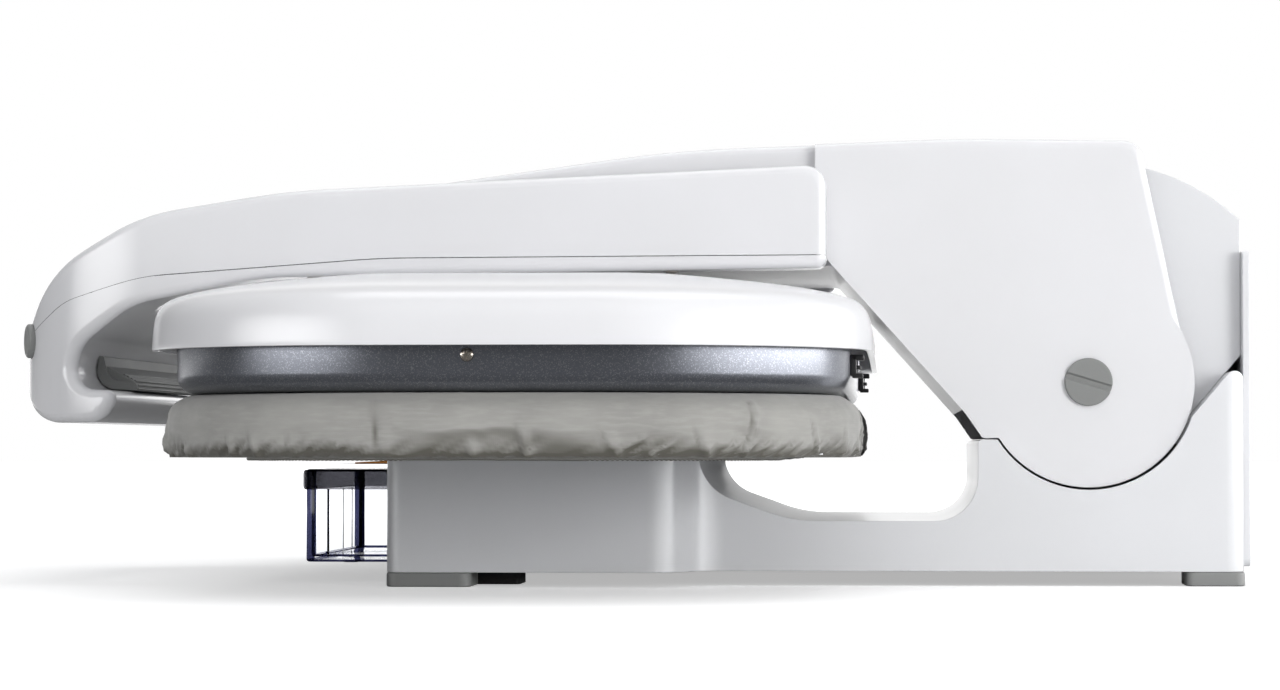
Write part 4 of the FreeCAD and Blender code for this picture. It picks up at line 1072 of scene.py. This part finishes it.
def make_dial():
    """Knurled temperature knob on a thin skirt, with a white pointer."""
    low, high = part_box("temperature_dial")
    radius = (high[0] - low[0]) / 2
    seat = panel_point("temperature_dial") + PANEL_OUT * DIAL_SEAT
    tall = reach_along("temperature_dial", PANEL_OUT)[1] - PANEL_OUT.dot(seat)
    skirt = cylinder_blank(radius, DIAL_SKIRT)
    draw_rings(skirt, scaled(DIAL_SKIRT_EDGE))
    knob = cylinder_blank(radius * KNOB_SHARE, tall - DIAL_CROWN[1][1] * MM, KNURLS * 2)
    draw_rings(knob, scaled(DIAL_CROWN))
    edit(knob)
    turn = math.pi / KNURLS

    def raised(middle, normal):
        return abs(normal.z) < 0.1 and int((math.atan2(middle.y, middle.x) + math.pi) / turn) % 2

    pick_faces(knob, raised)
    bpy.ops.mesh.inset(use_individual=True, thickness=KNURL_INSET, depth=KNURL_RISE)
    for piece in (skirt, knob):
        stand(piece, seat, PANEL_OUT)
    settle(join([skirt, knob]), "dial_knob", "dial", "grey_plastic", ("temperature_dial",), crease=40)
    tip = (POINTER_HALF, radius * POINTER_SHARE, POINTER_TALL)
    pointer = block((-POINTER_HALF, POINTER_START, 0), tip, POINTER_EDGE)
    stand(pointer, seat + PANEL_OUT * (tall - POINTER_SINK), PANEL_OUT)
    settle(pointer, "dial_pointer", "dial", "white_gloss")


def make_panel_marks():
    """Dots beside the dial that grow from cool to hot."""
    middle = panel_point("temperature_dial")
    dots = []
    for index in range(INDEX_DOTS):
        angle = math.radians(index * DOTS_ARC / (INDEX_DOTS - 1) - DOTS_ARC / 2)
        out = Vector((math.cos(angle), 0, 0)) + PANEL_UP * math.sin(angle)
        dot = cylinder_blank((DOT_SMALLEST + DOT_GROWTH * index) * MM, DOT_TALL, 20)
        draw_rings(dot, scaled(DOT_EDGE))
        dots.append(stand(dot, middle + out * DOTS_RADIUS, PANEL_OUT))
    settle(join(dots), "dial_marks", "arm", "white_gloss")


def make_lenses():
    """Two domed pilot lenses."""
    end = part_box("pilot_lenses")[1][0]
    near, far = reach_along("pilot_lenses", PANEL_OUT)
    foot = foot_of("pilot_lenses", PANEL_OUT)
    lenses = []
    for side in (1, -1):
        lens = cylinder_blank(LENS_RADIUS, far - near - LENS_DOME[-1][1] * MM, 32)
        draw_rings(lens, scaled(LENS_DOME))
        lenses.append(stand(lens, foot + Vector((side * (end - LENS_RADIUS), 0, 0)), PANEL_OUT))
    settle(join(lenses), "pilot_lens_domes", "arm", "lens_amber", ("pilot_lenses",))


soft_edged("control_panel", "grey_plastic", 0.5 * MM)
soft_edged("power_switch", "dark_plastic", 0.7 * MM)
make_dial()
make_panel_marks()
make_lenses()


# Ribbed grip inside the handle's hook

GRIP_REAR = Vector((0, -213.6 * MM, 85.8 * MM))
GRIP_SLOPE = math.radians(28.4)
GRIP_UP = Vector((0, -math.cos(GRIP_SLOPE), math.sin(GRIP_SLOPE)))
GRIP_RISE = 16 * MM
GRIP_THICK = 4.6 * MM
GRIP_RIBS = (1.0, 2.8, 4.6, 6.4)
GRIP_REAR_RIBS = (1.2, 2.8)
GRIP_EDGE = 0.7 * MM
GRIP_SHARE = 0.49
RIB_RADIUS = 0.7 * MM
RIB_END = RIB_RADIUS * 0.4
RIB_SHARE = 0.98


def make_grip_pad():
    """Sloped pad that fills the grip's corner, with round ribs where the fingers close round it."""
    low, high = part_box("handle_grip")
    half = (high[0] - low[0]) * GRIP_SHARE
    pad = block((-half, -GRIP_RISE, -GRIP_THICK), (half, 0, 0), GRIP_EDGE)
    activate(pad)
    pad.rotation_euler = (-GRIP_SLOPE, 0, 0)
    pad.location = GRIP_REAR
    bpy.ops.object.transform_apply()
    settle(pad, "grip_pad", "handle", "grey_plastic")
    places = [GRIP_REAR + GRIP_UP * (along * MM) for along in GRIP_RIBS]
    places += [GRIP_REAR - Vector((0, 0, down * MM)) for down in GRIP_REAR_RIBS]
    ribs = []
    for at in places:
        rib = cylinder_blank(RIB_RADIUS, 2 * half * RIB_SHARE, 12)
        for facing in (1, -1):
            draw_rings(rib, [(RIB_END, RIB_END)], facing=facing)
        ribs.append(stand(rib, (-half * RIB_SHARE, at.y, at.z), (1, 0, 0)))
    settle(join(ribs), "grip_ribs", "handle", "grey_plastic")


soft_edged("handle_grip", "grey_plastic", 1.0 * MM)
make_grip_pad()


# Water tank

TANK_ROUND = 1.7 * MM
TANK_WALL = 2 * MM
TANK_COLLAR_LOW = 39.3 * MM
TANK_COLLAR_WALL = 0.9 * MM
TANK_RIBS = ((27, 0.9), (-23, 0.3), (-52, 0.35))
TANK_RIB_HALF = 0.6
TANK_RIB_EDGE = 0.1 * MM
TANK_POST = 1.6 * MM
TANK_POST_EDGE = 0.4 * MM
TANK_POST_BELOW = 1 * MM
TANK_KNOB_RADIUS = 4.2 * MM
TANK_KNOB_DROP = 2.4 * MM
TANK_KNOB_FROM_FRONT = 9 * MM
TANK_KNOB_SIDE = TANK_KNOB_DROP * 0.5
TANK_KNOB_RINGS = ((0.3 * MM, TANK_KNOB_DROP * 0.35), (1.2 * MM, TANK_KNOB_DROP * 0.5))

tank_low, tank_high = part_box("water_tank")
tank_edge = clear_plastic("tank_edge", (0.06, 0.065, 0.15), (0.008, 0.009, 0.035), 0.5)
tank_smoke = clear_plastic("tank_smoke", (0.52, 0.52, 0.54), (0.02, 0.02, 0.03), 0.12)


def make_tank_shell():
    """Clear tank whose rounded edges gather the navy tint of the plastic."""
    tank = copy_of_node("water_tank")
    tank.data.materials.clear()
    tank.data.materials.append(finishes["tank_clear"])
    tank.data.materials.append(tank_edge)
    round_edges(tank, TANK_ROUND, 40, material=1, use_clamp_overlap=True)
    for face in tank.data.polygons:
        if abs(face.normal.x) > 0.2 and abs(face.normal.y) > 0.2:
            face.material_index = 1
    settle(tank, "water_tank_shell", "tank", "tank_clear", ("water_tank",), keep_materials=True)


def make_tank_collar():
    """Smoky band where the lid's skirt overlaps the tank."""
    grown = TANK_COLLAR_WALL
    low = (tank_low[0] - grown, tank_low[1] - grown, TANK_COLLAR_LOW)
    collar = block(low, (tank_high[0] + grown, tank_high[1], tank_high[2]), TANK_ROUND)
    drop_faces(collar, lambda middle, normal: abs(normal.z) > 0.9)
    apply_modifier(collar, "SOLIDIFY", thickness=TANK_COLLAR_WALL * 0.8, offset=-1)
    settle(collar, "tank_collar", "tank", "tank_clear")
    collar.data.materials[0] = tank_smoke


def make_tank_ribs():
    """Ribs inside the tank's front wall, a post in its far corner and the knob under its floor."""
    inside = tank_low[1] + TANK_WALL
    floor = tank_low[2] + TANK_WALL
    ribs = []
    for across, deep in TANK_RIBS:
        low = ((across - TANK_RIB_HALF) * MM, inside, floor)
        high = ((across + TANK_RIB_HALF) * MM, inside + deep * MM, TANK_COLLAR_LOW)
        ribs.append(block(low, high, TANK_RIB_EDGE))
    low = (tank_low[0] + TANK_WALL, inside, floor)
    high = (low[0] + TANK_POST, inside + TANK_POST, tank_high[2] - TANK_POST_BELOW)
    ribs.append(block(low, high, TANK_POST_EDGE))
    knob = cylinder_blank(TANK_KNOB_RADIUS, TANK_KNOB_SIDE, 32)
    draw_rings(knob, TANK_KNOB_RINGS)
    ribs.append(stand(knob, (0, tank_low[1] + TANK_KNOB_FROM_FRONT, tank_low[2]), (0, 0, -1)))
    inner = settle(join(ribs), "tank_ribs", "tank", "tank_clear")
    inner.data.materials[0] = tank_edge


make_tank_shell()
soft_edged("tank_lid", "tank_clear", 0.6 * MM)
soft_edged("filler_flap", "flap_tint", 0.5 * MM)
make_tank_collar()
make_tank_ribs()


# Stage, light and camera

FLOOR_SIZE = 30
FLOOR_WHITE = (0.82, 0.82, 0.82, 1)
FLOOR_IN_GLOSS = (0.2, 0.2, 0.2, 1)
ROOM_COLOUR = (0.97, 0.98, 1.0, 1)
ROOM_LIGHT = 0.5
WHITE = (1, 1, 1, 1)
# Direction along the floor, strength and where its edge starts: right, left and far panel
STUDIO_PANELS = (((0.0, 1.0), 12.0, 0.59), ((0.6, -0.8), 6.2, 0.86), ((-1.0, 0.0), 2.0, 0.80))


def ray_kinds(tree):
    """One for rays from the camera or through glass, and one for rays from gloss."""
    path = add(tree, "ShaderNodeLightPath").outputs
    seen = calculate(tree, "MAXIMUM", path["Is Camera Ray"], path["Is Transmission Ray"])
    return seen, path["Is Glossy Ray"]


def make_stage():
    """A wide white floor that takes the shadow."""
    deselect()
    bpy.ops.mesh.primitive_plane_add(size=FLOOR_SIZE)
    floor = bpy.context.object
    floor.name = "floor"
    material, tree, surface = new_finish("floor_white")
    seen, gloss = ray_kinds(tree)
    where = place(tree)
    away = add(tree, "ShaderNodeVectorMath", {"operation": "LENGTH"}, i0=where).outputs["Value"]
    glow = remap(tree, away, 0.45, 1.2, 0.4, 1.6)
    beyond = remap(tree, parts_of(tree, where)[0], 1.6, 0.0, -2.0, -0.8)
    mirrored = calculate(tree, "MULTIPLY", gloss, beyond)
    shown = calculate(tree, "ADD", calculate(tree, "MULTIPLY", seen, glow), mirrored)
    feed(tree, surface, Base_Color=blend_colour(tree, gloss, FLOOR_WHITE, FLOOR_IN_GLOSS), Roughness=0.9,
         Specular_IOR_Level=0.0, Emission_Color=WHITE, Emission_Strength=shown)
    floor.data.materials.append(material)


def panel_ahead(tree, heading, towards, strength, edge):
    """Light of a studio panel that gloss shows, brightest in one direction along the floor."""
    first = calculate(tree, "MULTIPLY", heading[0], towards[0])
    second = calculate(tree, "MULTIPLY", heading[1], towards[1])
    return remap(tree, calculate(tree, "ADD", first, second), 0.0, strength, edge, 0.99)


def make_world():
    """White surround for the camera, soft room light, and studio panels that only gloss shows."""
    world = bpy.data.worlds.new("studio")
    bpy.context.scene.world = world
    world.use_nodes = True
    tree = world.node_tree
    tree.nodes.clear()
    room = add(tree, "ShaderNodeBackground", Color=ROOM_COLOUR, Strength=ROOM_LIGHT)
    surround = add(tree, "ShaderNodeBackground", Color=WHITE, Strength=1.0)
    heading = parts_of(tree, add(tree, "ShaderNodeTexCoord").outputs["Generated"])
    above = remap(tree, heading[2], 0.12, 0.9, 0.1, 0.6)
    panels = panel_ahead(tree, heading, *STUDIO_PANELS[0])
    for panel in STUDIO_PANELS[1:]:
        panels = calculate(tree, "ADD", panel_ahead(tree, heading, *panel), panels)
    low = remap(tree, calculate(tree, "ABSOLUTE", heading[2]), 1.0, 0.0, 0.15, 0.5)
    shown = calculate(tree, "ADD", calculate(tree, "MULTIPLY", panels, low), above)
    studio = add(tree, "ShaderNodeBackground", Color=WHITE, Strength=shown)
    seen, gloss = ray_kinds(tree)
    bright = add(tree, "ShaderNodeMixShader", i0=gloss, i1=surround.outputs[0], i2=studio.outputs[0])
    direct = calculate(tree, "MAXIMUM", seen, gloss)
    mix = add(tree, "ShaderNodeMixShader", i0=direct, i1=room.outputs[0], i2=bright.outputs[0])
    output = tree.nodes.new("ShaderNodeOutputWorld")
    tree.links.new(mix.outputs[0], output.inputs["Surface"])


def add_softbox(name, at, aim, size, power, mirrored=True):
    """A square soft light turned towards a point, seen in gloss or not."""
    lamp = bpy.data.lights.new(name, "AREA")
    lamp.size = size
    lamp.energy = power
    holder = bpy.data.objects.new(name, lamp)
    bpy.context.scene.collection.objects.link(holder)
    holder.visible_glossy = mirrored
    holder.location = at
    holder.rotation_euler = (Vector(aim) - Vector(at)).to_track_quat("-Z", "Y").to_euler()


IMAGE_WIDTH = 1280
FOCAL_PIXELS = 3889
EYE = Vector((1.750, 0.11085, 0.0568))
YAW = math.radians(3.68)
PITCH = math.radians(1.54)


def make_camera():
    """The side view of the photograph, from the right end of the board."""
    camera = bpy.data.cameras.new("camera")
    camera.sensor_width = 36
    camera.lens = FOCAL_PIXELS / IMAGE_WIDTH * camera.sensor_width
    holder = bpy.data.objects.new("camera", camera)
    bpy.context.scene.collection.objects.link(holder)
    holder.location = EYE
    level = math.cos(PITCH)
    looking = Vector((-math.cos(YAW) * level, -math.sin(YAW) * level, math.sin(PITCH)))
    holder.rotation_euler = looking.to_track_quat("-Z", "Y").to_euler()
    bpy.context.scene.camera = holder


make_stage()
make_world()
add_softbox("right", (1.1, 1.9, 0.7), (0.1, 0.05, 0.15), 1.7, 3)
add_softbox("rear", (-0.8, 2.0, 0.8), (0, 0.1, 0.2), 1.5, 8)
add_softbox("front", (2.3, 0.4, 1.1), (0, 0, 0.1), 2.0, 12, mirrored=False)
add_softbox("low", (1.5, 1.0, 0.15), (0.15, 0.02, 0.05), 0.6, 13, mirrored=False)
add_softbox("top", (-0.3, 0.1, 2.1), (0, 0.05, 0.1), 1.6, 12)
make_camera()

scene = bpy.context.scene
scene.view_settings.view_transform = "Standard"
